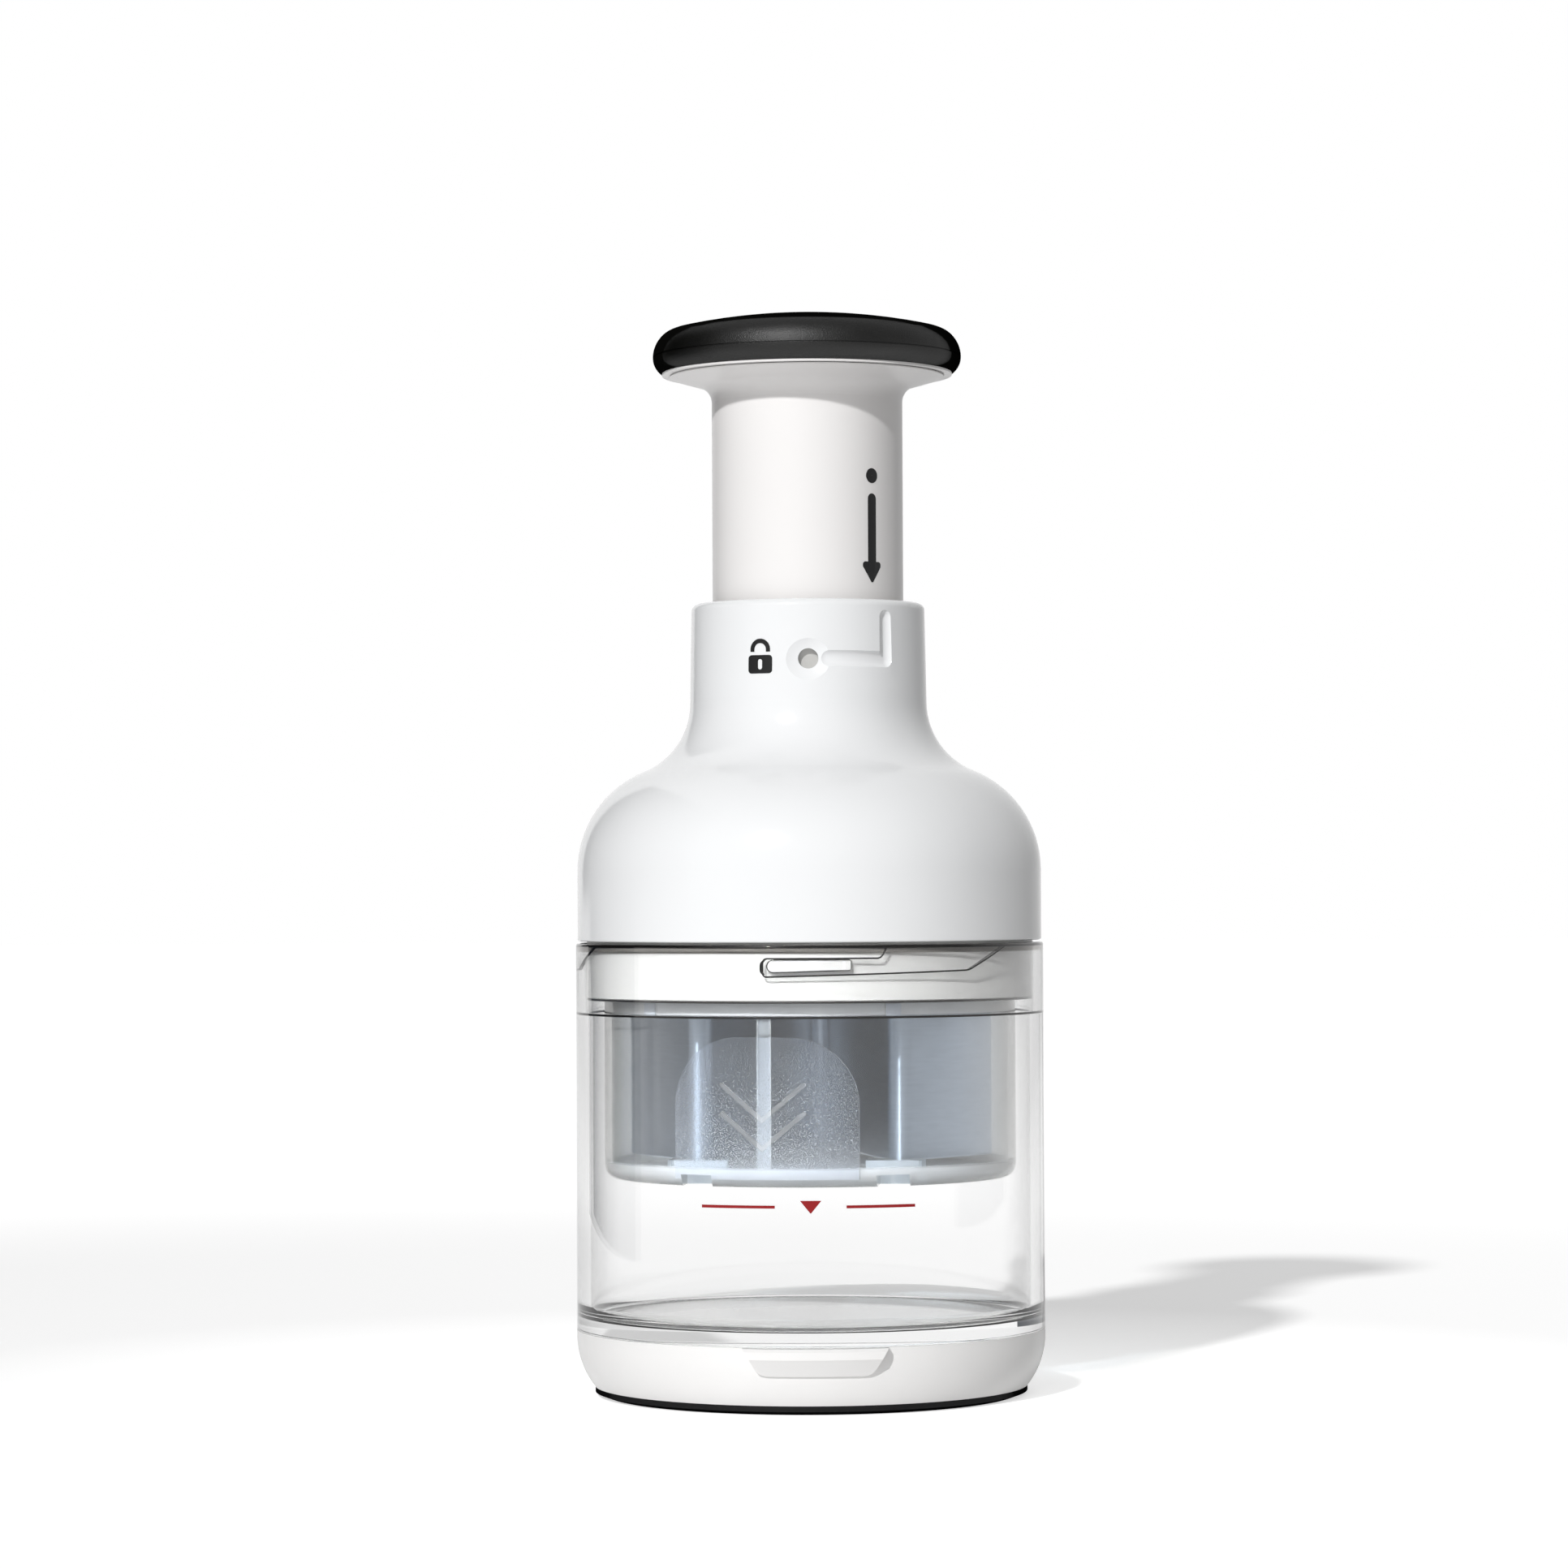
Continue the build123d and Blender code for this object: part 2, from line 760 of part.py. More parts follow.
# Spring washers: one on the spider's hub, one in the knob's boss
with BuildPart() as spring_seat:
    with BuildSketch(Plane.XY.offset(z_hub_top)):
        Circle(hub_radius - washer_gap)
        Circle(post_radius + washer_gap, mode=Mode.SUBTRACT)
    extrude(amount=washer_height)
spring_seat.part.label = "spring_seat"
with BuildPart() as spring_cap:
    with BuildSketch(Plane.XY.offset(z_spring_top)):
        Circle(hub_radius - washer_gap)
        Circle(post_radius + washer_gap, mode=Mode.SUBTRACT)
    extrude(amount=washer_height)
spring_cap.part.label = "spring_cap"

# Blade: one strip folded into a zigzag, ground along its lower edge
z_blade_top = z_holder + blade_root
with BuildPart() as blade:
    with BuildSketch(rotor_plane.offset(z_blade)):
        with BuildLine():
            FilletPolyline(*blade_corners(0), radius=blade_fold_radius)
        trace(line_width=blade_thickness)
    extrude(amount=z_blade_top - z_blade)
    chamfer(
        blade.edges().group_by(Axis.Z)[0].filter_by(lambda edge: edge.length > 2 * blade_thickness),
        length=blade_bevel,
    )
blade.part.label = "blade"

# Blade holder: disc that grips the strip's top edge and is screwed to the yoke
with BuildPart() as holder_slot:
    with BuildSketch(rotor_plane.offset(z_holder)):
        with BuildLine():
            FilletPolyline(*blade_corners(press_gap), radius=blade_fold_radius)
        trace(line_width=blade_thickness + 2 * press_gap)
    extrude(amount=blade_root + press_gap)
    extrude(holder_slot.faces().sort_by(Axis.Z)[0], amount=overrun)
with BuildPart() as blade_holder:
    with BuildSketch(Plane.XY.offset(z_holder)):
        Circle(holder_radius)
    extrude(amount=holder_thickness)
    fillet(blade_holder.edges(), radius=holder_edge)
    add(holder_slot.part, mode=Mode.SUBTRACT)
    with Locations(Plane.XY.offset(z_holder).rotated((180, 0, 0))):
        with Locations([(across(column_reach, a), column_reach * cos(radians(a))) for a in column_angles]):
            CounterBoreHole(
                screw_radius + press_gap, screw_head_radius + press_gap, screw_head_height + screw_sink
            )
blade_holder.part.label = "blade_holder"

# Yoke screws: three alike, up through the holder into the columns
z_screw_head = z_holder + screw_sink
with BuildPart() as yoke_screws:
    with BuildSketch(Plane.XY.offset(z_screw_head)):
        with Locations([(across(column_reach, a), -column_reach * cos(radians(a))) for a in column_angles]):
            Circle(screw_head_radius)
    extrude(amount=screw_head_height)
    with BuildSketch(Plane.XY.offset(z_screw_head + screw_head_height)):
        with Locations([(across(column_reach, a), -column_reach * cos(radians(a))) for a in column_angles]):
            Circle(screw_radius)
    extrude(amount=screw_length)
yoke_screws.part.label = "yoke_screws"

# Drive yoke: three columns up to a hub that snaps into the tube
with BuildPart() as drive_yoke:
    with BuildSketch(Plane.XZ):
        with BuildLine():
            Polyline(
                (yoke_bore, z_follower - yoke_shoulder_height),
                (yoke_radius + yoke_shoulder, z_follower - yoke_shoulder_height),
                (yoke_radius + yoke_shoulder, z_follower - press_gap),
                (yoke_radius, z_follower - press_gap),
                (yoke_radius, z_lip),
                (tube_inner + yoke_lip - loose_fit, z_lip),
                (yoke_radius, z_lip + yoke_lip_height),
                (yoke_radius, z_follower + yoke_top),
                (yoke_bore, z_follower + yoke_top),
                close=True,
            )
        make_face()
    revolve(axis=Axis.Z)
    with BuildSketch(Plane.XY.offset(z_holder_top)):
        for angle in column_angles:
            with Locations((across(column_reach, angle), -column_reach * cos(radians(angle)))):
                RectangleRounded(column_width, column_depth, column_round, rotation=angle)
    extrude(amount=z_follower - yoke_shoulder_height - z_holder_top)
    with BuildSketch(Plane.XY.offset(z_holder_top)):
        for angle in column_angles:
            with Locations((across(column_reach, angle), -column_reach * cos(radians(angle)))):
                Circle(screw_radius + press_gap)
    extrude(amount=screw_length, mode=Mode.SUBTRACT)
drive_yoke.part.label = "drive_yoke"

# Index follower: ring of saw teeth on the yoke, facing the crown
with BuildPart() as follower_teeth:
    for place in range(tooth_count):
        with BuildSketch(facing(rotor_turn + 360 / tooth_count * place)):
            with BuildLine():
                Polyline(
                    (-tooth_reach, z_follower_top - press_gap),
                    (tooth_reach, z_follower_top - press_gap),
                    (-tooth_reach * tooth_lean_share, z_follower_top + tooth_height),
                    close=True,
                )
            make_face()
        extrude(amount=crown_radius + overrun)
    with BuildSketch(Plane.XY.offset(z_follower)):
        Circle(crown_radius)
        Circle(crown_inner, mode=Mode.SUBTRACT)
    extrude(amount=z_crown - z_follower, mode=Mode.INTERSECT)
with BuildPart() as index_follower:
    with BuildSketch(Plane.XY.offset(z_follower)):
        Circle(crown_radius)
        Circle(yoke_radius + press_gap, mode=Mode.SUBTRACT)
    extrude(amount=follower_height)
    add(follower_teeth.part)
index_follower.part.label = "index_follower"

# Guard spider: ring in the guard's mouth, flange on the collar's ledge, arms, hub and post
with BuildPart() as guard_spider:
    with BuildSketch(Plane.XZ):
        with BuildLine():
            Polyline(
                (spider_inner, z_guard_top - spider_spigot),
                (spider_plug, z_guard_top - spider_spigot),
                (spider_plug, z_guard_top + press_gap),
                (spider_outer, z_guard_top + press_gap),
                (spider_outer, z_flange),
                (spider_outer + spider_flange, z_flange),
                (spider_outer + spider_flange, z_flange + spider_flange_height),
                (spider_outer, z_flange + spider_flange_height),
                (spider_outer, z_arm_top),
                (spider_inner, z_arm_top),
                close=True,
            )
        make_face()
    revolve(axis=Axis.Z)
    with BuildSketch(Plane.XY.offset(z_arm)):
        for angle in arm_angles:
            middle = (spider_inner + spider_wall / 2) / 2
            with Locations((across(middle, angle), -middle * cos(radians(angle)))):
                Rectangle(arm_width, 2 * middle, rotation=angle)
        Circle(hub_radius)
    extrude(amount=arm_height)
    with BuildSketch(Plane.XY.offset(z_arm)):
        Circle(hub_radius)
    extrude(amount=arm_height + hub_rise)
    with BuildSketch(Plane.XY.offset(z_hub_top)):
        Circle(post_radius)
    extrude(amount=post_height)
    fillet(guard_spider.edges().group_by(Axis.Z)[-1], radius=post_round)
guard_spider.part.label = "guard_spider"

# Guard: frosted basket with blade slots in its floor, two raised grip paddles and a rib behind each
slot_spare = (slot_width - blade_thickness) / 2
with BuildPart() as guard_slot:
    with BuildSketch(rotor_plane.offset(z_guard - overrun)):
        with BuildLine():
            FilletPolyline(*blade_corners(slot_spare), radius=blade_fold_radius)
        trace(line_width=slot_width)
    extrude(amount=guard_floor + guide_height + 2 * overrun)
    with BuildSketch(facing(rotor_turn).offset(blade_front_y - notch_inset)):
        with Locations((-blade_front_x, z_guard), (blade_front_x, z_guard)):
            Rectangle(notch_width, 2 * notch_height)
    extrude(amount=guard_radius)
z_paddle = z_guard_floor - paddle_raise / 2
z_chevron = z_paddle + paddle_height - chevron_top_drop
z_rib = z_guard_top - spider_spigot - loose_fit
with BuildPart() as paddles:
    for angle in (paddle_turn, paddle_turn + 180):
        with BuildSketch(facing(angle)):
            with Locations((0, z_paddle + paddle_height / 2)):
                Rectangle(paddle_width, paddle_height)
            fillet(vertices().group_by(Axis.Y)[-1], radius=paddle_corner)
        extrude(amount=guard_radius + overrun)
        for side in (-bump_turn, bump_turn):
            with BuildSketch(facing(angle + side)):
                with Locations((0, z_collar - bump_drop - bump_height / 2)):
                    Rectangle(bump_width, bump_height)
            extrude(amount=guard_radius + overrun)
    with BuildSketch(Plane.XY.offset(z_guard)):
        Circle(guard_radius + paddle_raise)
        Circle(guard_radius - guard_wall / 2, mode=Mode.SUBTRACT)
    extrude(amount=z_guard_top - z_guard, mode=Mode.INTERSECT)
with BuildPart() as chevrons:
    for angle in (paddle_turn, paddle_turn + 180):
        for row in range(2):
            with BuildSketch(facing(angle)):
                with BuildLine():
                    Polyline(
                        (-chevron_width / 2, z_chevron - row * chevron_pitch),
                        (0, z_chevron - row * chevron_pitch - chevron_drop),
                        (chevron_width / 2, z_chevron - row * chevron_pitch),
                    )
                trace(line_width=chevron_stroke)
                with Locations(
                    (-chevron_width / 2, z_chevron - row * chevron_pitch),
                    (chevron_width / 2, z_chevron - row * chevron_pitch),
                ):
                    Circle(chevron_stroke / 2)
            extrude(amount=guard_radius + overrun)
    with BuildSketch(Plane.XY.offset(z_guard)):
        Circle(guard_radius + paddle_raise + chevron_raise)
        Circle(guard_radius - guard_wall / 2, mode=Mode.SUBTRACT)
    extrude(amount=z_guard_top - z_guard, mode=Mode.INTERSECT)
with BuildPart() as guard:
    with BuildSketch(Plane.XZ):
        with BuildLine():
            Line((0, z_guard), (guard_radius - guard_edge_radius, z_guard))
            TangentArc(
                (guard_radius - guard_edge_radius, z_guard),
                (guard_radius, z_guard + guard_edge_radius),
                tangent=(1, 0),
            )
            Polyline(
                (guard_radius, z_guard + guard_edge_radius),
                (guard_radius, z_guard_top),
                (guard_inner, z_guard_top),
                (guard_inner, z_guard_floor + guard_edge_radius - guard_wall),
            )
            TangentArc(
                (guard_inner, z_guard_floor + guard_edge_radius - guard_wall),
                (guard_inner - guard_edge_radius + guard_wall, z_guard_floor),
                tangent=(0, -1),
            )
            Polyline(
                (guard_inner - guard_edge_radius + guard_wall, z_guard_floor), (0, z_guard_floor), (0, z_guard)
            )
        make_face()
    revolve(axis=Axis.Z)
    with BuildSketch(rotor_plane.offset(z_guard_floor - press_gap)):
        with Locations((-blade_front_x, -blade_front_y), (blade_front_x, -blade_front_y)):
            Rectangle(guide_width, guide_depth)
        Circle(guard_inner + guard_wall / 2, mode=Mode.INTERSECT)
    extrude(amount=guide_height + press_gap)
    with BuildSketch(Plane.XY.offset(z_guard_floor - press_gap)):
        for angle in (paddle_turn, paddle_turn + 180):
            with Locations((across(guard_inner, angle), -guard_inner * cos(radians(angle)))):
                Ellipse(rib_width / 2, rib_depth, rotation=angle)
        Circle(guard_inner + guard_wall / 2, mode=Mode.INTERSECT)
    extrude(amount=z_rib - z_guard_floor + press_gap)
    add(paddles.part)
    add(chevrons.part)
    add(guard_slot.part, mode=Mode.SUBTRACT)
guard.part.label = "guard"

os.makedirs("parts", exist_ok=True)
for piece in (
    foot_ring,
    base_cover,
    cup,
    collar,
    housing,
    index_crown,
    neck_bushing,
    plunger_tube,
    knob_core,
    knob_grip,
    return_spring,
    spring_seat,
    spring_cap,
    blade,
    blade_holder,
    yoke_screws,
    drive_yoke,
    index_follower,
    guard_spider,
    guard,
):
    export_step(piece.part, f"parts/{piece.part.label}.step")
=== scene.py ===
import bpy
import numpy as np
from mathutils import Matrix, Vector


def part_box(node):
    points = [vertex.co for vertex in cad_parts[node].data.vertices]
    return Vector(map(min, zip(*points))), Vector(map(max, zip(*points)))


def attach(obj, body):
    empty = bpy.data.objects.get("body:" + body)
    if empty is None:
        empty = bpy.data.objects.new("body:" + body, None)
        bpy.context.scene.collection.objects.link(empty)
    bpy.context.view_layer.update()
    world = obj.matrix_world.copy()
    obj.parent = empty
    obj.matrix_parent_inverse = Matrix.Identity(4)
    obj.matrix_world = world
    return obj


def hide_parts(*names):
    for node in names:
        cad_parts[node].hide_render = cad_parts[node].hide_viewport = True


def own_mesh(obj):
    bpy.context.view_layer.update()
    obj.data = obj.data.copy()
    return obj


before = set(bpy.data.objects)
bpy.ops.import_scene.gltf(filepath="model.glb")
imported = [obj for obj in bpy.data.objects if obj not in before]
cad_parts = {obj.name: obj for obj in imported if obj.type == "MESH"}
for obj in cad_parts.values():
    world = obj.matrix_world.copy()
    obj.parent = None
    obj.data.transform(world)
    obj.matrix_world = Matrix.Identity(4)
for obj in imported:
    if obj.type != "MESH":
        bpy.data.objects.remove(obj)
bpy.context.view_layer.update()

# Foot ring
# Soft black thermoplastic rubber, moulded as one ring and plugged into a groove under the base.
# It is the only piece that touches the table, so it stays matt and shows almost no highlight.
MM = 0.001
GLOSS_DRIFT = (0.85, 1.15)
SHEEN_SPAN = (0.2, 0.65)


def linear(colour):
    """Linear RGBA of an sRGB hex text: c / 12.92 near black, else ((c + 0.055) / 1.055) ^ 2.4."""
    srgb = np.array([int(colour[at : at + 2], 16) for at in (1, 3, 5)]) / 255
    rgb = np.where(srgb <= 0.04045, srgb / 12.92, ((srgb + 0.055) / 1.055) ** 2.4)
    return (*rgb.tolist(), 1.0)


def add(tree, kind, inputs, **settings):
    """Adds one shader node. Inputs map a socket to a value or to another node's socket."""
    made = tree.nodes.new("ShaderNode" + kind)
    for name, value in settings.items():
        setattr(made, name, value)
    for socket, value in inputs.items():
        if isinstance(value, bpy.types.NodeSocket):
            tree.links.new(value, made.inputs[socket])
        else:
            made.inputs[socket].default_value = value
    return made


def blank_material(name):
    """An empty node material and its tree."""
    material = bpy.data.materials.new(name)
    material.use_nodes = True
    material.node_tree.nodes.clear()
    return material, material.node_tree


def moulded(name, light, dark, roughness, shine, mottle_mm, grain_mm, depth_mm, fade=0.0):
    """Moulded plastic or rubber. Colour and gloss drift over mottle_mm, as a moulding's skin does,
    and a grain grain_mm wide and depth_mm high comes off the tool's surface. Shine 0.5 is plain plastic;
    a coarse grain shades itself, so its shine loses the fade share at grazing angles."""
    material, tree = blank_material(name)
    place = add(tree, "TexCoord", {}).outputs["Object"]
    mottle = add(tree, "TexNoise", {"Vector": place, "Scale": 1 / (mottle_mm * MM), "Detail": 3.0})
    tone = add(
        tree, "Mix", {0: mottle.outputs["Fac"], 6: linear(light), 7: linear(dark)}, data_type="RGBA"
    )
    gloss = add(
        tree,
        "MapRange",
        {
            "Value": mottle.outputs["Fac"],
            "To Min": roughness * GLOSS_DRIFT[0],
            "To Max": roughness * GLOSS_DRIFT[1],
        },
    )
    grain = add(tree, "TexNoise", {"Vector": place, "Scale": 1 / (grain_mm * MM), "Detail": 2.0})
    bump = add(tree, "Bump", {"Height": grain.outputs["Fac"], "Distance": depth_mm * MM})
    sheen = shine
    if fade:
        graze = add(tree, "LayerWeight", {"Blend": 0.5})
        faded = add(
            tree,
            "MapRange",
            {
                "Value": graze.outputs["Facing"],
                "From Min": SHEEN_SPAN[0],
                "From Max": SHEEN_SPAN[1],
                "To Min": shine,
                "To Max": shine * (1 - fade),
            },
        )
        sheen = faded.outputs["Result"]
    shader = add(
        tree,
        "BsdfPrincipled",
        {
            "Base Color": tone.outputs[2],
            "Roughness": gloss.outputs["Result"],
            "Specular IOR Level": sheen,
            "Normal": bump.outputs["Normal"],
        },
    )
    add(tree, "OutputMaterial", {"Surface": shader.outputs["BSDF"]})
    return material


def dress(node, material):
    """Gives a CAD node its finish."""
    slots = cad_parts[node].data.materials
    slots.clear()
    slots.append(material)


foot_rubber = moulded("foot_tpr_moulded", "#0b0b0c", "#121213", 0.6, 0.2, 9.0, 0.5, 0.02, fade=1.0)
dress("foot_ring", foot_rubber)

# Base cover
# White ABS dish, injection moulded with a bowed wall and a pull tab, clipped under the cup.
# Polished tool steel leaves a glossy skin with only a faint waviness.
base_abs = moulded("base_abs_gloss", "#f6f5f4", "#f1f0ef", 0.25, 0.4, 26.0, 7.0, 0.012)
dress("base_cover", base_abs)

# Cup
# Clear styrene acrylonitrile, moulded with thick walls, so its steps and channels show as dark lines, painted
# in as shade.
# Light passes to the pieces inside: rays towards the lamps see the wall as a faint grey film.
CUP_RADIUS = 50.5
CUP_EDGE = 0.5
EDGE_ON = 0.95
RIM_SHADE_BAND = (95.3, 95.6)
SWIRL_MM = 18.0
SWIRL_DRIFT = (0.5, 1.5)


def edge_share(tree, start):
    """Share from 0 where a wall is seen square on, up to the start, to 1 where it is seen edge on."""
    graze = add(tree, "LayerWeight", {"Blend": 0.5})
    share = add(
        tree, "MapRange", {"Value": graze.outputs["Facing"], "From Min": start, "From Max": EDGE_ON}
    )
    return share.outputs["Result"]


def let_light_pass(tree, shader, film):
    """Ends a clear material: rays towards a lamp meet a film of this tone, and all others the shader."""
    passing = add(tree, "BsdfTransparent", {"Color": film})
    ray = add(tree, "LightPath", {})
    mixed = add(
        tree,
        "MixShader",
        {0: ray.outputs["Is Shadow Ray"], 1: shader.outputs["BSDF"], 2: passing.outputs["BSDF"]},
    )
    add(tree, "OutputMaterial", {"Surface": mixed.outputs["Shader"]})


def clear_plastic(name, tint, edge, rim, film, roughness, ior):
    """Clear plastic that refracts. Its colour is painted shade: grey at the rounded rim, which turns light
    away, and darker towards the edge tone where the wall is seen edge on. For shadow rays it is
    a film, whose first tone is for light that comes straight through and whose second is for light that
    grazes the wall."""
    material, tree = blank_material(name)
    place = add(tree, "TexCoord", {}).outputs["Object"]
    swirl = add(tree, "TexNoise", {"Vector": place, "Scale": 1 / (SWIRL_MM * MM), "Detail": 1.0})
    gloss = add(
        tree,
        "MapRange",
        {
            "Value": swirl.outputs["Fac"],
            "To Min": roughness * SWIRL_DRIFT[0],
            "To Max": roughness * SWIRL_DRIFT[1],
        },
    )
    # Painted shade: a grey band at the rounded rim, and a wall that darkens towards the edge tone where it is
    # seen edge on.
    height_up = add(tree, "SeparateXYZ", {"Vector": place})
    share = add(
        tree,
        "MapRange",
        {"Value": height_up.outputs["Z"], "From Min": RIM_SHADE_BAND[0] * MM, "From Max": RIM_SHADE_BAND[1] * MM},
    )
    wall = add(
        tree, "Mix", {0: edge_share(tree, CUP_EDGE), 6: linear(tint), 7: linear(edge)}, data_type="RGBA"
    )
    tone = add(
        tree,
        "Mix",
        {0: share.outputs["Result"], 6: wall.outputs[2], 7: linear(rim)},
        data_type="RGBA",
    )
    shader = add(
        tree,
        "BsdfPrincipled",
        {
            "Base Color": tone.outputs[2],
            "Roughness": gloss.outputs["Result"],
            "IOR": ior,
            "Transmission Weight": 1.0,
        },
    )
    graze = add(tree, "LayerWeight", {"Blend": 0.4})
    shade = add(
        tree,
        "Mix",
        {0: graze.outputs["Facing"], 6: linear(film[0]), 7: linear(film[1])},
        data_type="RGBA",
    )
    let_light_pass(tree, shader, shade.outputs[2])
    return material


# The edge and rim tones of the cup are painted shade.
cup_san = clear_plastic(
    "cup_san_clear", "#fefefe", "#9c9c9c", "#a3a09d", ("#fdfefe", "#dcdcda"), 0.015, 1.5
)
dress("cup", cup_san)

# Edge lines in the cup
# The rounded edges of the bayonet channels, of the step under them and of the rim turn light away and look
# dark.
# That dark is painted shade: a thin near-black bead inside the wall, run along each edge.
CHANNEL_RADIUS = 49.6
CHANNEL_ROUND = 0.25
CHANNEL_TURN = (-11.2, 17.2, 18.8, 41.5, 56.0)
CHANNEL_HEIGHT = (90.6, 91.7, 94.4, 97.0)
CHANNEL_POINTS = 400
CHANNEL_SOFT = 4
STEP_EDGE = (48.1, 82.15)
RIM_EDGE = (49.85, 96.7)
LEVEL_POINTS = 241
BEAD = 0.17
LEVEL_BEAD = 0.23
BEAD_SIDES = 8
THIRD = 120.0


def surface(name, points, material, body, closed=False):
    """A mesh from a rows x columns grid of points in mm; a closed grid joins its last column to the first."""
    rows, columns = points.shape[:2]
    index = np.arange(rows * columns).reshape(rows, columns)
    if closed:
        index = np.concatenate([index, index[:, :1]], axis=1)
    corners = (index[:-1, :-1], index[:-1, 1:], index[1:, 1:], index[1:, :-1])
    faces = np.stack([corner.ravel() for corner in corners], axis=1)
    mesh = bpy.data.meshes.new(name)
    mesh.from_pydata((points.reshape(-1, 3) * MM).tolist(), [], faces.tolist())
    mesh.materials.append(material)
    made = bpy.data.objects.new(name, mesh)
    bpy.context.scene.collection.objects.link(made)
    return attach(made, body)


def evenly(line, count):
    """The points of a bent line, spaced evenly along it."""
    run = np.concatenate([[0], np.cumsum(np.hypot(*np.diff(line, axis=0).T))])
    even = np.linspace(0, run[-1], count)
    return np.stack([np.interp(even, run, line[:, axis]) for axis in (0, 1)], axis=1)


def softened(line, count, span):
    """Even points along a bent line, with its corners rounded by a running mean over a span of points."""
    dense = evenly(line, count)
    padded = np.concatenate([dense[:1].repeat(span, axis=0), dense, dense[-1:].repeat(span, axis=0)])
    rows = np.arange(count)[:, None] + np.arange(2 * span + 1)[None]
    return padded[rows].mean(axis=1)


def level_line(height):
    """A line once round the axis at one height."""
    return np.stack([np.linspace(0, 360, LEVEL_POINTS), np.full(LEVEL_POINTS, height)], axis=1)


def bead(name, line, radius, thickness, material, body):
    """A round bead along a line on a wall, given as degrees round the axis and height in mm: a circle
    that spans the way out of the wall and the way across the line on it."""
    flat = line * [np.radians(1) * radius, 1]
    along = np.gradient(flat, axis=0)
    along /= np.hypot(*along.T)[:, None]
    turn = np.linspace(0, 2 * np.pi, BEAD_SIDES, endpoint=False)[None]
    out = radius + thickness * np.cos(turn)
    angle = (flat[:, :1] + thickness * np.sin(turn) * along[:, 1:]) / radius
    height = flat[:, 1:] - thickness * np.sin(turn) * along[:, :1]
    points = np.stack([out * np.sin(angle), -out * np.cos(angle), height], axis=-1)
    return surface(name, points, material, body, closed=True)


# Painted shade: the beads' near-black stands in for the shade along the cup's edges.
edge_shade_paint = moulded("cup_edge_painted_shade", "#1f1d1c", "#191817", 0.3, 0.2, 4.0, 0.5, 0.004)
degree = np.radians(1) * CHANNEL_RADIUS
start, roof_end, mouth_start, floor_end, mouth_end = (turn * degree for turn in CHANNEL_TURN)
channel_low, channel_rise, channel_roof, channel_top = CHANNEL_HEIGHT
channel_line = np.array(
    [
        (mouth_end, channel_top),
        (floor_end, channel_rise),
        (start, channel_low),
        (start, channel_roof),
        (roof_end, channel_roof),
        (mouth_start, channel_top),
    ]
)
channel_line = softened(channel_line, CHANNEL_POINTS, CHANNEL_SOFT) / [degree, 1]
for number in range(3):
    bead(
        f"channel_edge_{number}",
        channel_line + [THIRD * number, 0],
        CHANNEL_RADIUS + CHANNEL_ROUND,
        BEAD,
        edge_shade_paint,
        "beaker",
    )
for name, (radius, height) in (("socket_edge", STEP_EDGE), ("rim_edge", RIM_EDGE)):
    bead(name, level_line(height), radius, LEVEL_BEAD, edge_shade_paint, "beaker")

# Fill line on the cup
# Two red strokes with a small triangle between them, pad printed on the outside of the wall.
# The ink lies a few hundredths of a millimetre proud and is a little less glossy than the cup.
INK_LIFT = 0.04
INK_ROWS = 4
LINE_HEIGHT = 43.3
LINE_WIDTH = 0.62
LINE_GAP = 7.4
LINE_ENDS = (-23.3, 22.3)
LINE_POINTS = 24
MARK_WIDTH = 4.4
MARK_HEIGHT = 2.6
MARK_TIP = 0.04
MARK_POINTS = 9


def print_on(name, inner, outer, radius, turn, height, material, body, closed=False, lean=0.0):
    """Ink between two flat outlines in mm, rolled onto a wall of the given radius at the height, which
    leans out by a share as it goes up: x runs round it as an arc length from the turn in degrees, y runs
    up from the height. Rows go from the inner outline to the outer one."""
    share = np.linspace(0, 1, INK_ROWS)[:, None, None]
    flat = inner[None] * (1 - share) + outer[None] * share
    angle = np.radians(turn) + flat[..., 0] / radius
    lifted = radius + lean * flat[..., 1] + INK_LIFT
    rolled = np.stack([lifted * np.sin(angle), -lifted * np.cos(angle), height + flat[..., 1]], axis=-1)
    return surface(name, rolled, material, body, closed)


def printed(name, colour, roughness):
    """Pad-printing ink, with the slight mottling of a film laid by a soft pad."""
    return moulded(name, colour, colour, roughness, 0.4, 3.0, 0.35, 0.004)


red_ink = printed("fill_line_red_ink", "#94070f", 0.4)
for side, end in zip(("left", "right"), LINE_ENDS):
    reach = np.linspace(np.sign(end) * LINE_GAP, end, LINE_POINTS)
    if end < 0:
        reach = reach[::-1]
    low = np.stack([reach, np.full_like(reach, -LINE_WIDTH / 2)], axis=1)
    high = low + [0, LINE_WIDTH]
    print_on(f"fill_line_{side}", low, high, CUP_RADIUS, 0, LINE_HEIGHT, red_ink, "beaker")
spread = np.linspace(-MARK_WIDTH / 2, MARK_WIDTH / 2, MARK_POINTS)
mark_top = np.stack([spread, np.full_like(spread, MARK_HEIGHT / 2)], axis=1)
mark_low = np.stack([spread * MARK_TIP, np.full_like(spread, -MARK_HEIGHT / 2)], axis=1)
print_on("fill_line_mark", mark_low, mark_top, CUP_RADIUS, 0, LINE_HEIGHT, red_ink, "beaker")

# Blade
# One strip of stainless steel, blanked, folded into a zigzag and ground along its lower edge.
# Rolling leaves lines along the strip, which spread its highlights up and down. They are finer on the
# real one and are drawn as coarse as they need to be to show.
ROLL_DEPTH = 0.004
ROLL_GLOSS = (0.8, 1.3)
QUARTER_TURN = 0.25


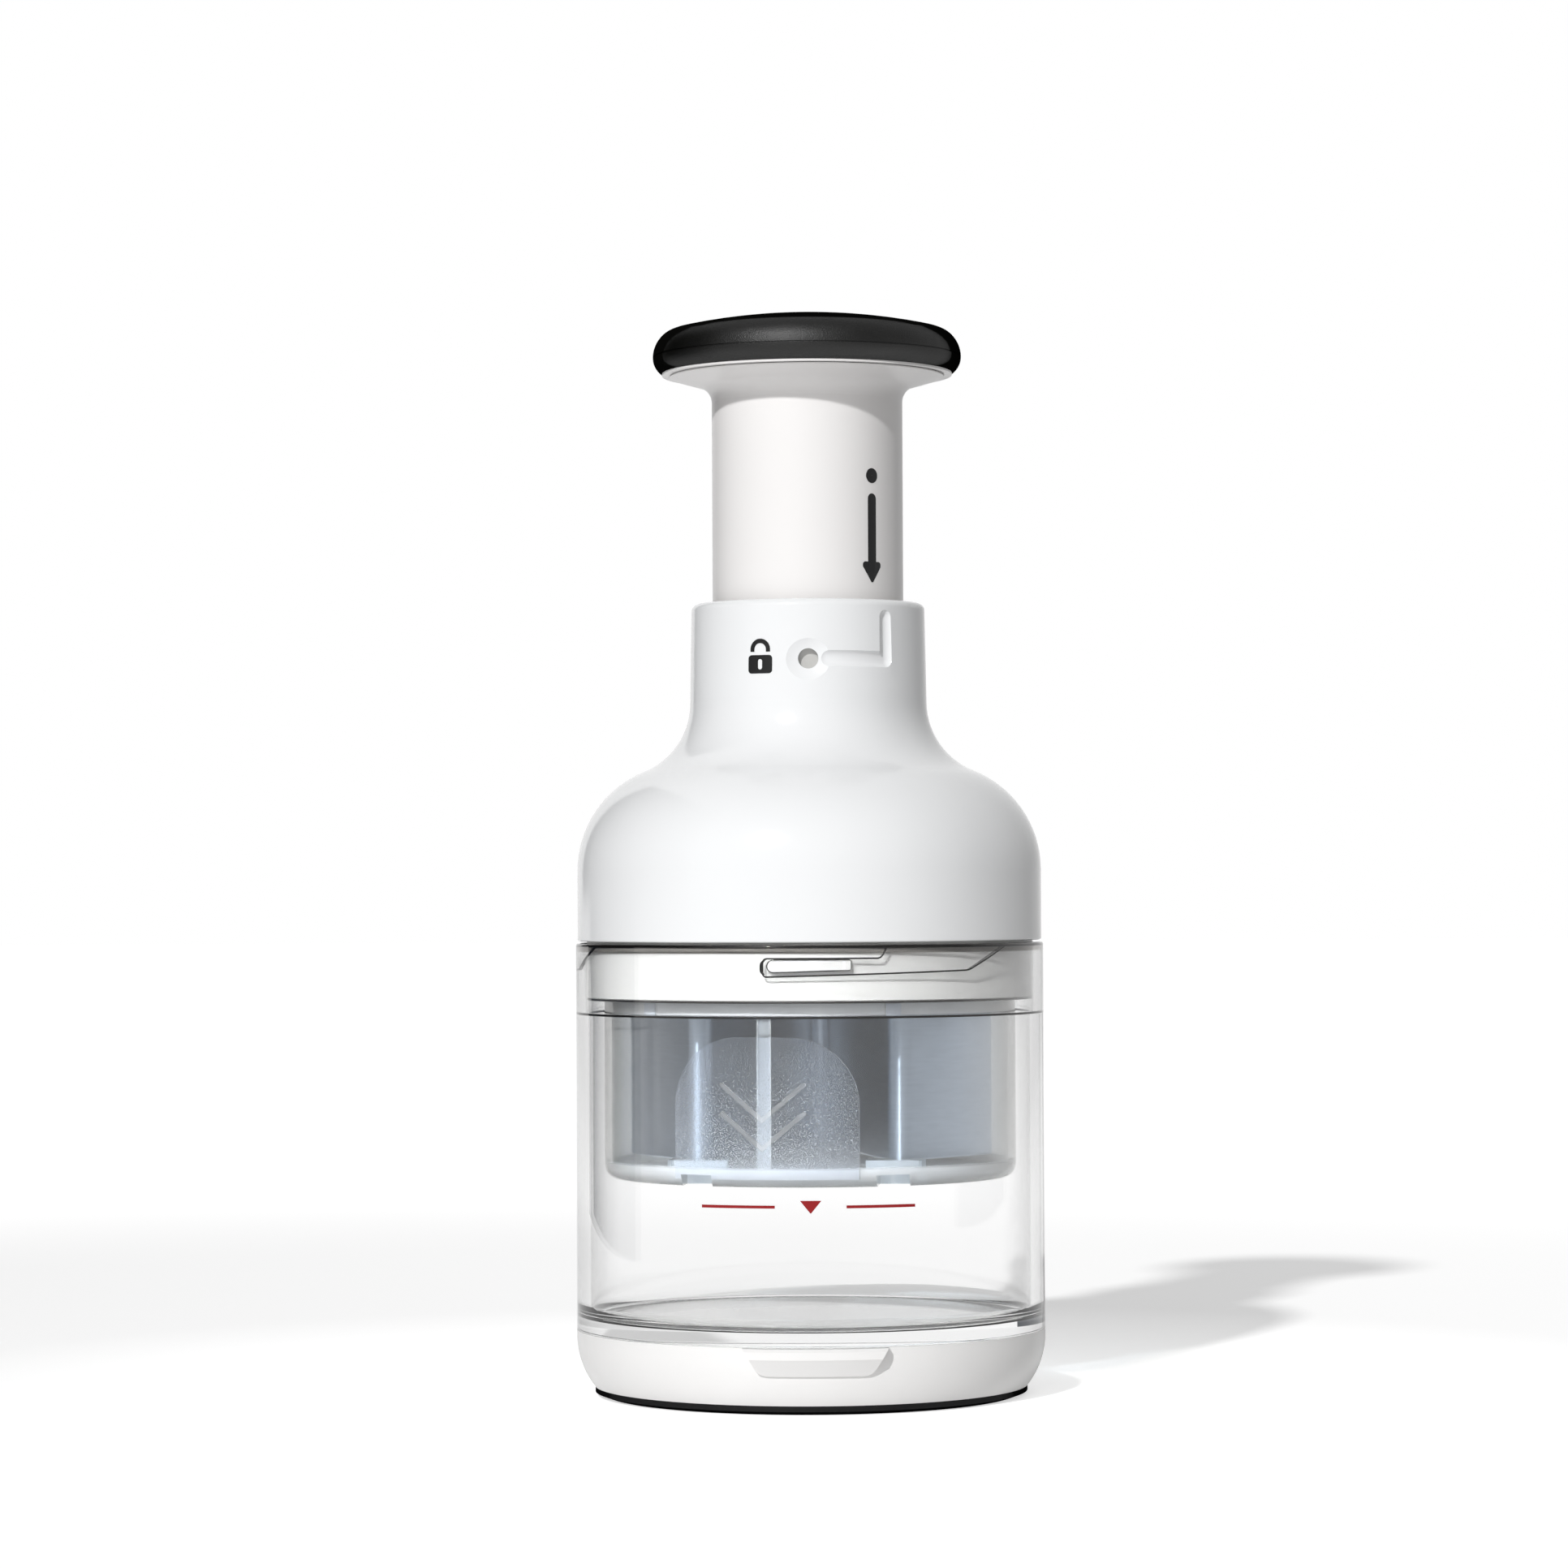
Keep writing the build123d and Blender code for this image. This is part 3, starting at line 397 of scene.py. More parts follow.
def steel(name, light, dark, roughness, line_mm, stretch, spread):
    """Steel with rolling lines line_mm apart, drawn out level by stretch, that spread highlights upright."""
    material, tree = blank_material(name)
    place = add(tree, "TexCoord", {}).outputs["Object"]
    drawn = add(tree, "Mapping", {"Vector": place, "Scale": (1 / stretch, 1 / stretch, 1.0)})
    lines = add(
        tree, "TexNoise", {"Vector": drawn.outputs["Vector"], "Scale": 1 / (line_mm * MM), "Detail": 3.0}
    )
    tone = add(
        tree, "Mix", {0: lines.outputs["Fac"], 6: linear(light), 7: linear(dark)}, data_type="RGBA"
    )
    gloss = add(
        tree,
        "MapRange",
        {
            "Value": lines.outputs["Fac"],
            "To Min": roughness * ROLL_GLOSS[0],
            "To Max": roughness * ROLL_GLOSS[1],
        },
    )
    bump = add(tree, "Bump", {"Height": lines.outputs["Fac"], "Distance": ROLL_DEPTH * MM})
    around = add(tree, "Tangent", {}, direction_type="RADIAL", axis="Z")
    shader = add(
        tree,
        "BsdfPrincipled",
        {
            "Base Color": tone.outputs[2],
            "Metallic": 1.0,
            "Roughness": gloss.outputs["Result"],
            "Anisotropic": spread,
            "Anisotropic Rotation": QUARTER_TURN,
            "Normal": bump.outputs["Normal"],
            "Tangent": around.outputs["Tangent"],
        },
        distribution="GGX",
    )
    add(tree, "OutputMaterial", {"Surface": shader.outputs["BSDF"]})
    return material


blade_steel = steel("blade_stainless_rolled", "#d4dbe4", "#c0c8d2", 0.32, 0.5, 12.0, 0.9)
dress("blade", blade_steel)

# Blade holder, yoke and follower
# White acetal mouldings that carry the blade from the tube, satin and slightly creamy.
# Three steel screws hold the holder on the yoke's columns.
inner_acetal = moulded("inner_acetal_satin", "#e9e8e4", "#e2e1dd", 0.35, 0.4, 15.0, 0.8, 0.01)
screw_steel = steel("screw_steel_turned", "#a9a9a8", "#8f8f8e", 0.3, 0.3, 1.0, 0.0)
dress("blade_holder", inner_acetal)
dress("drive_yoke", inner_acetal)
dress("index_follower", inner_acetal)
dress("yoke_screws", screw_steel)

# Guard and spider
# Natural polypropylene basket, see-through with a faint milkiness; its two raised paddles are stippled
# for grip. The spider is an acetal moulding pressed into the basket's mouth.
GUARD_RADIUS = 44.4
GUARD_EDGE = 0.3
GUARD_IOR = 1.49
PADDLE_RAISE = 0.5
PADDLE_FACE = (0.5, 0.8)
CHEVRON_FACE = (1.2, 1.5)
SPECK_MM = 0.2
SPECK_CUT = (0.42, 0.68)
SPECK_SHARE = (0.02, 0.4)
SPECK_SPAN = (54.0, 80.0)
SPECK_THINNING = (1.15, 0.45)
FLOOR_BAND = (51.2, 50.4)
FLOOR_MILK = (0.008, 0.58)
RIM_FOOT = (82.3, 82.6)
RIM_MILK = (0.0, 1.0)
RIB_FACE = (42.7, 42.4)
RIB_MILK_AND_HIGHLIGHT = (0.0, 0.6)
EDGE_MILK = 0.55
CHEVRON_MILK = 0.23


def frosted_guard(name, tint, paddle, edge, film, smooth, rough, stipple_mm, stipple_depth_mm):
    """Natural polypropylene. The paddles, which stand proud of the basket, are stippled, with fine white
    specks; the chevrons on them and the rest are smooth. The floor, the rim, the ribs and the chevrons
    are milky, and the ribs' milk is also a painted highlight for the reflection of a strip light. Tint is
    for the basket, paddle for its paddles, and edge, a painted shade, for a wall seen edge on."""
    material, tree = blank_material(name)
    place = add(tree, "TexCoord", {}).outputs["Object"]
    height_up = add(tree, "SeparateXYZ", {"Vector": place}).outputs["Z"]
    level = add(tree, "VectorMath", {0: place, 1: (1.0, 1.0, 0.0)}, operation="MULTIPLY")
    reach = add(tree, "VectorMath", {0: level.outputs["Vector"]}, operation="LENGTH").outputs["Value"]
    face = add(
        tree,
        "MapRange",
        {
            "Value": reach,
            "From Min": (GUARD_RADIUS + PADDLE_RAISE * PADDLE_FACE[0]) * MM,
            "From Max": (GUARD_RADIUS + PADDLE_RAISE * PADDLE_FACE[1]) * MM,
        },
    )
    chevron = add(
        tree,
        "MapRange",
        {
            "Value": reach,
            "From Min": (GUARD_RADIUS + PADDLE_RAISE * CHEVRON_FACE[0]) * MM,
            "From Max": (GUARD_RADIUS + PADDLE_RAISE * CHEVRON_FACE[1]) * MM,
            "To Min": 1.0,
            "To Max": 0.0,
        },
    )
    raised = add(
        tree, "Math", {0: face.outputs["Result"], 1: chevron.outputs["Result"]}, operation="MULTIPLY"
    ).outputs["Value"]
    gloss = add(tree, "MapRange", {"Value": raised, "To Min": smooth, "To Max": rough})
    specks = add(tree, "TexNoise", {"Vector": place, "Scale": 1 / (SPECK_MM * MM), "Detail": 1.0})
    specks = add(
        tree,
        "MapRange",
        {
            "Value": specks.outputs["Fac"],
            "From Min": SPECK_CUT[0],
            "From Max": SPECK_CUT[1],
            "To Min": SPECK_SHARE[0],
            "To Max": SPECK_SHARE[1],
        },
    )
    specks = add(tree, "Math", {0: specks.outputs["Result"], 1: raised}, operation="MULTIPLY")
    thinning = add(
        tree,
        "MapRange",
        {
            "Value": height_up,
            "From Min": SPECK_SPAN[0] * MM,
            "From Max": SPECK_SPAN[1] * MM,
            "To Min": SPECK_THINNING[0],
            "To Max": SPECK_THINNING[1],
        },
    )
    cloud = add(
        tree, "Math", {0: specks.outputs["Value"], 1: thinning.outputs["Result"]}, operation="MULTIPLY"
    )
    along = edge_share(tree, GUARD_EDGE)
    haze = add(tree, "Math", {0: along, 1: EDGE_MILK}, operation="MULTIPLY")
    ridge = add(
        tree, "MapRange", {"Value": chevron.outputs["Result"], "To Min": CHEVRON_MILK, "To Max": 0.0}
    )
    milky = [haze.outputs["Value"], ridge.outputs["Result"]]
    # The ribs' milk is partly a painted highlight, standing in for a strip light's reflection.
    for value, (clear_end, milky_end), (thin, thick) in (
        (height_up, FLOOR_BAND, FLOOR_MILK),
        (height_up, RIM_FOOT, RIM_MILK),
        (reach, RIB_FACE, RIB_MILK_AND_HIGHLIGHT),
    ):
        milk = add(
            tree,
            "MapRange",
            {
                "Value": value,
                "From Min": clear_end * MM,
                "From Max": milky_end * MM,
                "To Min": thin,
                "To Max": thick,
            },
        )
        milky.append(milk.outputs["Result"])
    for milk in milky:
        cloud = add(tree, "Math", {0: cloud.outputs["Value"], 1: milk}, operation="MAXIMUM")
    clear = add(tree, "Math", {0: 1.0, 1: cloud.outputs["Value"]}, operation="SUBTRACT")
    stipple = add(tree, "TexNoise", {"Vector": place, "Scale": 1 / (stipple_mm * MM), "Detail": 1.0})
    height = add(tree, "Math", {0: stipple.outputs["Fac"], 1: raised}, operation="MULTIPLY")
    bump = add(tree, "Bump", {"Height": height.outputs["Value"], "Distance": stipple_depth_mm * MM})
    wall = add(tree, "Mix", {0: raised, 6: linear(tint), 7: linear(paddle)}, data_type="RGBA")
    # Painted shade: the wall turns to the edge tone where it is seen edge on.
    tone = add(tree, "Mix", {0: along, 6: wall.outputs[2], 7: linear(edge)}, data_type="RGBA")
    shader = add(
        tree,
        "BsdfPrincipled",
        {
            "Base Color": tone.outputs[2],
            "Roughness": gloss.outputs["Result"],
            "IOR": GUARD_IOR,
            "Transmission Weight": clear.outputs["Value"],
            "Normal": bump.outputs["Normal"],
        },
    )
    let_light_pass(tree, shader, linear(film))
    return material


# The edge tone is painted shade; the ribs' milk is partly a painted highlight.
guard_pp = frosted_guard(
    "guard_pp_natural", "#f1f5f9", "#dfe7f2", "#d6d3cc", "#e6eaed", 0.05, 0.2, 0.3, 0.015
)
dress("guard", guard_pp)
dress("guard_spider", inner_acetal)

# Collar
# White ABS skirt with the bayonet lugs, clipped into the bell and seen through the cup's rim.
# It is the bell's plastic with a plainer skin, set slightly greyer as painted shade. Each lug has a face with
# a rounded nose and a sloping foot, and the edges of lugs and skirt show through the cup as dark beads of
# painted shade.
bell_abs = moulded("bell_abs_gloss", "#f3f4f5", "#eff0f1", 0.13, 0.4, 30.0, 8.0, 0.012)
# Painted shade: the collar is set greyer than the bell's plastic it is made of.
shaded_collar_abs = moulded("collar_abs_painted_shade", "#e9e9e8", "#e3e3e2", 0.35, 0.3, 30.0, 3.0, 0.01)
dress("collar", shaded_collar_abs)
LUG_RADIUS = 49.42
LUG_ROOT = 48.0
LUG_TURN = (-10.3, 9.9)
LUG_TOP = 94.12
LUG_LOW = (91.5, 91.95)
LUG_ROUND = 0.2
LUG_MIDDLE = 0.02
LUG_POINTS = 200
LUG_SOFT = 2
LUG_BEAD = 0.1
ARC_POINTS = 25
SKIRT_EDGE = (47.85, 85.3)
lug_left, lug_right = (turn * degree for turn in LUG_TURN)
lug_half = (LUG_TOP - LUG_LOW[0]) / 2
lug_turn = np.linspace(np.pi / 2, 3 * np.pi / 2, ARC_POINTS)[:, None]
lug_nose = np.concatenate([np.cos(lug_turn), np.sin(lug_turn)], axis=1) * lug_half
lug_nose += [lug_left + lug_half, LUG_TOP - lug_half]
lug_outline = np.concatenate([lug_nose, [(lug_right, LUG_LOW[1]), (lug_right, LUG_TOP), lug_nose[0]]])
lug_outline = softened(lug_outline, LUG_POINTS, LUG_SOFT)
lug_middle = lug_outline.mean(axis=0)
lug_rows = (
    (LUG_MIDDLE, LUG_RADIUS),
    (1 - LUG_ROUND / lug_half, LUG_RADIUS),
    (1.0, LUG_RADIUS - LUG_ROUND),
    (1.0, LUG_ROOT),
)
for number in range(3):
    rows = []
    for share, radius in lug_rows:
        flat = lug_middle + (lug_outline - lug_middle) * share
        angle = flat[:, 0] / CHANNEL_RADIUS + np.radians(THIRD * number)
        rows.append(np.stack([radius * np.sin(angle), -radius * np.cos(angle), flat[:, 1]], axis=1))
    surface(f"lug_face_{number}", np.array(rows), bell_abs, "bell")
    lug_line = lug_outline / [degree, 1] + [THIRD * number, 0]
    bead(f"lug_edge_{number}", lug_line, LUG_RADIUS - LUG_ROUND / 2, LUG_BEAD, edge_shade_paint, "bell")
# Painted shade: a dark bead under the collar's skirt, like those round the lugs.
bead("collar_edge", level_line(SKIRT_EDGE[1]), SKIRT_EDGE[0], LEVEL_BEAD, edge_shade_paint, "bell")

# Bell housing
# White ABS shell with a mirror-polished skin; the sight hole and the L-shaped groove are moulded in.
# A padlock sign is pad printed beside the hole in charcoal ink.
dress("housing", bell_abs)
charcoal_ink = printed("sign_charcoal_ink", "#1b1b1c", 0.38)
RIM_RADIUS = 25.2
RIM_HEIGHT = 170.3
NECK_LEAN = -0.4 / 21.3
LOCK_TURN = -23.6
LOCK_FOOT = 154.4
LOCK_BODY = (5.5, 3.9)
LOCK_CORNER = 0.75
KEYHOLE = (0.95, 2.2)
KEYHOLE_ROUND = 0.499
SHACKLE_RADIUS = 1.8
SHACKLE_WIDTH = 0.95
SHACKLE_LEG = 0.5
SHACKLE_GAP = 0.7
LEG_POINTS = 4
OUTLINE_POINTS = 96
OUTLINE_ANGLES = 721


def rounded_outline(width, height, corner):
    """Even points round a rounded rectangle: a small rectangle's corner plus a circle at each angle."""
    angle = np.linspace(0, 2 * np.pi, OUTLINE_ANGLES)
    half = np.array([width / 2 - corner, height / 2 - corner])
    around = np.stack([np.cos(angle), np.sin(angle)], axis=1)
    return evenly(np.sign(around) * half + around * corner, OUTLINE_POINTS)[:-1]


body_outline = rounded_outline(*LOCK_BODY, LOCK_CORNER)
keyhole_outline = rounded_outline(*KEYHOLE, KEYHOLE[0] * KEYHOLE_ROUND)
lock_middle = LOCK_FOOT + LOCK_BODY[1] / 2
lock_radius = RIM_RADIUS + NECK_LEAN * (lock_middle - RIM_HEIGHT)
print_on(
    "lock_sign_body",
    keyhole_outline,
    body_outline,
    lock_radius,
    LOCK_TURN,
    lock_middle,
    charcoal_ink,
    "bell",
    closed=True,
    lean=NECK_LEAN,
)
bow = np.linspace(np.pi, 0, ARC_POINTS)
arch = np.stack([np.cos(bow), np.sin(bow)], axis=1)
leg_rise = np.linspace(-SHACKLE_LEG, 0, LEG_POINTS, endpoint=False)


def shackle_side(radius):
    """Half circle of a radius with a straight leg below each end."""
    left = np.stack([np.full_like(leg_rise, -radius), leg_rise], axis=1)
    return np.concatenate([left, arch * radius, (left * [-1, 1])[::-1]])


shackle_foot = LOCK_FOOT + LOCK_BODY[1] + SHACKLE_GAP + SHACKLE_LEG
print_on(
    "lock_sign_shackle",
    shackle_side(SHACKLE_RADIUS + SHACKLE_WIDTH / 2)[::-1],
    shackle_side(SHACKLE_RADIUS - SHACKLE_WIDTH / 2)[::-1],
    lock_radius + NECK_LEAN * (shackle_foot - lock_middle),
    LOCK_TURN,
    shackle_foot,
    charcoal_ink,
    "bell",
    lean=NECK_LEAN,
)

# Neck bushing and index crown
# Satin acetal mouldings inside the neck. The bushing shows through the sight hole and is set greyer, as
# painted shade.
# It turns in the neck and guides the tube; the crown is fixed and steps the blade round.
# Painted shade: the bushing is the same acetal, greyed for the shade inside the sight hole.
shaded_bushing_acetal = moulded("bushing_acetal_painted_shade", "#c6c5c2", "#bebdba", 0.4, 0.35, 12.0, 0.8, 0.01)
dress("neck_bushing", shaded_bushing_acetal)
dress("index_crown", inner_acetal)

# Plunger tube
# White ABS tube with its flared flange, a touch warmer and less polished than the bell.
# A dot and a long arrow are pad printed on its right side.
tube_abs = moulded("tube_abs_satin", "#f4f2f1", "#f0eeed", 0.32, 0.35, 24.0, 1.2, 0.006)
dress("plunger_tube", tube_abs)
TUBE_RADIUS = 20.65
SIGN_TURN = 41.7
DOT_HEIGHT = 196.9
DOT_RADIUS = 1.6
DOT_MIDDLE = 0.02
DOT_POINTS = 40
ARROW_TIP = 174.1
ARROW_LENGTH = 19.0
ARROW_SHAFT = 2.3
ARROW_HEAD = (5.1, 4.4)
SHAFT_POINTS = 12
CAP_POINTS = 10
HEAD_OVERLAP = 0.2
HEAD_SLOPE = 1.2
HEAD_TIP = 0.09
HEAD_ROUND = (0.24, 0.16)
HEAD_END = 0.99
round_turn = np.linspace(0, 2 * np.pi, DOT_POINTS, endpoint=False)
ring = np.stack([np.cos(round_turn), np.sin(round_turn)], axis=1)
print_on(
    "dot_sign",
    ring * DOT_RADIUS * DOT_MIDDLE,
    ring * DOT_RADIUS,
    TUBE_RADIUS,
    SIGN_TURN,
    DOT_HEIGHT,
    charcoal_ink,
    "plunger",
    closed=True,
)
shaft_foot = ARROW_HEAD[1] - HEAD_OVERLAP
shaft_top = ARROW_LENGTH - ARROW_SHAFT / 2
cap_turn = np.linspace(0, np.pi / 2, CAP_POINTS)
shaft_rise = np.linspace(shaft_foot, shaft_top, SHAFT_POINTS)[:-1]
shaft_y = np.concatenate([shaft_rise, shaft_top + np.sin(cap_turn) * ARROW_SHAFT / 2])
shaft_x = np.concatenate([np.full_like(shaft_rise, ARROW_SHAFT / 2), np.cos(cap_turn) * ARROW_SHAFT / 2])
shaft_right = np.stack([shaft_x, shaft_y], axis=1)
head_y = np.linspace(0, 1, ARC_POINTS)
head_turn = np.clip((head_y - (1 - HEAD_ROUND[1])) / HEAD_ROUND[1], 0, HEAD_END)
head_round = np.sqrt(1 - head_turn**2) * HEAD_ROUND[0] + (1 - HEAD_ROUND[0])
head_half = ARROW_HEAD[0] / 2 * np.minimum(head_y * HEAD_SLOPE + HEAD_TIP, head_round)
head_right = np.stack([head_half, head_y * ARROW_HEAD[1]], axis=1)
for name, right in (("arrow_sign_shaft", shaft_right), ("arrow_sign_head", head_right)):
    print_on(name, right, right * [-1, 1], TUBE_RADIUS, SIGN_TURN, ARROW_TIP, charcoal_ink, "plunger")

# Return spring
# Music wire wound into an open coil between two steel washers, hidden in the tube.
# It is drawn as a tube along a helix; the real one shortens as the knob goes down.
spring_steel = steel("spring_wire_drawn", "#8c8c8b", "#777776", 0.3, 0.2, 1.0, 0.0)
dress("spring_seat", spring_steel)
dress("spring_cap", spring_steel)
low, high = (np.array(corner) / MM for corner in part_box("return_spring"))
WIRE = 1.2
WIRE_SIDES = 10
TURNS = 12
TURN_POINTS = 36
coil_radius = (high[0] - low[0] - WIRE) / 2
wind = np.linspace(0, 2 * np.pi * TURNS, TURNS * TURN_POINTS + 1)[:, None]
section = np.linspace(0, 2 * np.pi, WIRE_SIDES, endpoint=False)[None]
out = coil_radius + WIRE / 2 * np.cos(section)
rise = np.linspace(low[2] + WIRE / 2, high[2] - WIRE / 2, len(wind))[:, None]
coil = np.stack([out * np.cos(wind), out * np.sin(wind), rise - WIRE / 2 * np.sin(section)], axis=-1)
spring = surface("return_spring_wire", coil, spring_steel, "guard_cage", closed=True)
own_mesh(spring)
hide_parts("return_spring")

# Knob core
# White ABS core, moulded in the tube's plastic and plugged into the tube's mouth.
# Only its rim shows, as a bright line under the grip that is moulded over it.
dress("knob_core", tube_abs)

# Knob grip
# Black thermoplastic elastomer moulded over the core, with a parting line round its equator. Its
# spark-eroded grain breaks up the highlight into fine sparkle, and is drawn coarse enough to show.
grip_tpe = moulded("grip_tpe_eroded", "#080807", "#0f0f0e", 0.42, 0.6, 6.0, 0.22, 0.08, fade=1.0)
dress("knob_grip", grip_tpe)

# Floor
# A plain white sweep, matt near the object so that it takes the long soft shadow, and glowing further out.
# The matt part reaches further in front, where it lights the undersides, and its right part gives little
# back. Far out in front and at the sides it is a little dimmer to mirrors and through clear plastic.
FLOOR_REACH = 8000.0
FLOOR_FRONT = 0.5
FLOOR_SPAN = (400.0, 800.0)
FLOOR_TONES = ("#f8f8f8", "#5a5a5a")
FLOOR_GLOW = (0.4, 1.0)
FLOOR_DIMS = (("Y", -300.0, -800.0, 0.72), ("X", 300.0, 900.0, 0.78), ("X", -300.0, -900.0, 0.82))
# Painted light: close round the foot the floor glows to the camera, which lifts the shadow there.
FOOT_REACH = (80.0, 220.0)
FOOT_PAINTED_LIGHT = 0.22
FRONT_SIDE = (-0.4, -0.92, 0.0)
FRONT_REACH = (50.0, 180.0)
FRONT_BOUNCE = 0.4
DUSK_SIDE = (0.8, 0.6, 0.0)
DUSK_REACH = (20.0, 160.0)
DUSK_TONE = "#404040"


def backdrop_rays(tree):
    """Shares of the rays that meet the backdrop: straight from the camera, through clear plastic, and
    both of these with mirror rays. Light on its way to a matt surface belongs to none of them."""
    ray = add(tree, "LightPath", {}).outputs
    straight, through = ray["Is Camera Ray"], ray["Is Transmission Ray"]
    mirrored = add(tree, "Math", {0: ray["Is Glossy Ray"], 1: through}, operation="MAXIMUM")
    seen = add(tree, "Math", {0: straight, 1: mirrored.outputs["Value"]}, operation="MAXIMUM")
    fresh = add(tree, "Math", {0: ray["Diffuse Depth"], 1: 0.5}, operation="LESS_THAN")
    seen = add(tree, "Math", {0: seen.outputs["Value"], 1: fresh.outputs["Value"]}, operation="MULTIPLY")
    return straight, through, seen.outputs["Value"]


def staged(name, corners, material):
    """A flat four-cornered sheet of the set, corners in mm."""
    mesh = bpy.data.meshes.new(name)
    mesh.from_pydata([[side * MM for side in corner] for corner in corners], [], [(0, 1, 2, 3)])
    mesh.materials.append(material)
    sheet = bpy.data.objects.new(name, mesh)
    bpy.context.scene.collection.objects.link(sheet)
    return sheet


floor_paint, tree = blank_material("floor_white_matt")
place = add(tree, "TexCoord", {}).outputs["Object"]
nearer = add(tree, "VectorMath", {0: place, 1: (1.0, FLOOR_FRONT, 1.0)}, operation="MULTIPLY")
nearer = add(tree, "VectorMath", {0: place, 1: nearer.outputs["Vector"]}, operation="MAXIMUM")
reach = add(tree, "VectorMath", {0: nearer.outputs["Vector"]}, operation="LENGTH").outputs["Value"]
away = add(
    tree,
    "MapRange",
    {"Value": reach, "From Min": FLOOR_SPAN[0] * MM, "From Max": FLOOR_SPAN[1] * MM},
    interpolation_type="SMOOTHSTEP",
).outputs["Result"]
near_tone, far_tone = (linear(tone) for tone in FLOOR_TONES)
sweep = add(tree, "Mix", {0: away, 6: near_tone, 7: far_tone}, data_type="RGBA")
bounced = add(tree, "LightPath", {}).outputs["Is Diffuse Ray"]
across = add(tree, "VectorMath", {0: place, 1: DUSK_SIDE}, operation="DOT_PRODUCT")
dusk = add(
    tree,
    "MapRange",
    {"Value": across.outputs["Value"], "From Min": DUSK_REACH[0] * MM, "From Max": DUSK_REACH[1] * MM},
)
dusk = add(tree, "Math", {0: dusk.outputs["Result"], 1: bounced}, operation="MULTIPLY")
tone = add(
    tree,
    "Mix",
    {0: dusk.outputs["Value"], 6: sweep.outputs[2], 7: linear(DUSK_TONE)},
    data_type="RGBA",
)
matt = add(tree, "BsdfDiffuse", {"Color": tone.outputs[2]})
lift = add(tree, "MapRange", {"Value": away, "To Min": FLOOR_GLOW[0], "To Max": FLOOR_GLOW[1]})
straight, through, seen = backdrop_rays(tree)
strength = add(tree, "Math", {0: seen, 1: lift.outputs["Result"]}, operation="MULTIPLY")
apart = add(tree, "SeparateXYZ", {"Vector": place})
for axis, near, far, share in FLOOR_DIMS:
    dimmed = add(
        tree,
        "MapRange",
        {
            "Value": apart.outputs[axis],
            "From Min": near * MM,
            "From Max": far * MM,
            "To Min": 1.0,
            "To Max": share,
        },
    )
    kept = add(tree, "Mix", {0: straight, 2: dimmed.outputs["Result"], 3: 1.0})
    strength = add(
        tree, "Math", {0: strength.outputs["Value"], 1: kept.outputs[0]}, operation="MULTIPLY"
    )
# Painted light on the floor round the foot, seen only by the camera.
painted_foot_light = add(
    tree,
    "MapRange",
    {
        "Value": reach,
        "From Min": FOOT_REACH[0] * MM,
        "From Max": FOOT_REACH[1] * MM,
        "To Min": FOOT_PAINTED_LIGHT,
        "To Max": 0.0,
    },
)
ahead = add(tree, "VectorMath", {0: place, 1: FRONT_SIDE}, operation="DOT_PRODUCT")
ahead = add(
    tree,
    "MapRange",
    {
        "Value": ahead.outputs["Value"],
        "From Min": FRONT_REACH[0] * MM,
        "From Max": FRONT_REACH[1] * MM,
        "To Max": FRONT_BOUNCE,
    },
)
for rays, more in ((straight, painted_foot_light), (bounced, ahead)):
    strength = add(
        tree,
        "Math",
        {0: rays, 1: more.outputs["Result"], 2: strength.outputs["Value"]},
        operation="MULTIPLY_ADD",
    )
glow = add(tree, "Emission", {"Strength": strength.outputs["Value"]})
both = add(tree, "AddShader", {0: matt.outputs["BSDF"], 1: glow.outputs["Emission"]})
add(tree, "OutputMaterial", {"Surface": both.outputs["Shader"]})
floor_corners = [(x * FLOOR_REACH, y * FLOOR_REACH, 0) for x, y in ((-1, -1), (1, -1), (1, 1), (-1, 1))]
staged("floor", floor_corners, floor_paint)

# Light
# One key from the front left throws the shadow back to the right. The room is pale and brighter in front;
# behind the camera and to the right it is dim to mirrors. Two cards out of the picture on the left are
# mirrored in the object: a black one down the bell and tube, a slate one in the blade's left wing.
KEY_TURN = -22.0
KEY_RISE = 31.7
KEY_ENERGY = 2.08
KEY_ANGLE = 2.8
ROOM_TONE = "#ffffff"
ROOM_SIDE = (-0.38, -0.78, 0.5)
ROOM_START = -0.6
ROOM_LEVELS = (0.06, 0.46)
FRONT_SPAN = (-0.1, 0.5)
MIRROR_FRONT = 0.3
CLEAR_FRONT = 0.55
RIGHT_SPAN = (0.1, 0.6)
MIRROR_RIGHT = 0.85
CLEAR_RIGHT = 0.75
CARD_SIDE = -420.0
CARD_SPANS = {"black_card": (-250, 700, 105, 700), "slate_card": (0, 420, 1, 104)}
CARD_TONES = {"black_card": "#101010", "slate_card": "#6c7683"}
key = bpy.data.objects.new("key", bpy.data.lights.new("key", "SUN"))
key.data.energy = KEY_ENERGY
key.data.angle = np.radians(KEY_ANGLE)
key.rotation_euler = (np.radians(90 - KEY_RISE), 0, np.radians(KEY_TURN))
bpy.context.scene.collection.objects.link(key)
for name, (near, far, low, high) in CARD_SPANS.items():
    card_paint, tree = blank_material(name + "_matt")
    matt = add(tree, "BsdfDiffuse", {"Color": linear(CARD_TONES[name])})
    add(tree, "OutputMaterial", {"Surface": matt.outputs["BSDF"]})
    corners = [(CARD_SIDE, *corner) for corner in ((near, low), (far, low), (far, high), (near, high))]
    card = staged(name, corners, card_paint)
    card.visible_camera = False
    card.visible_shadow = False
room = bpy.data.worlds.new("room")
bpy.context.scene.world = room
room.use_nodes = True
tree = room.node_tree
tree.nodes.clear()
way = add(tree, "TexCoord", {}).outputs["Generated"]
side = add(tree, "VectorMath", {0: way, 1: ROOM_SIDE}, operation="DOT_PRODUCT")
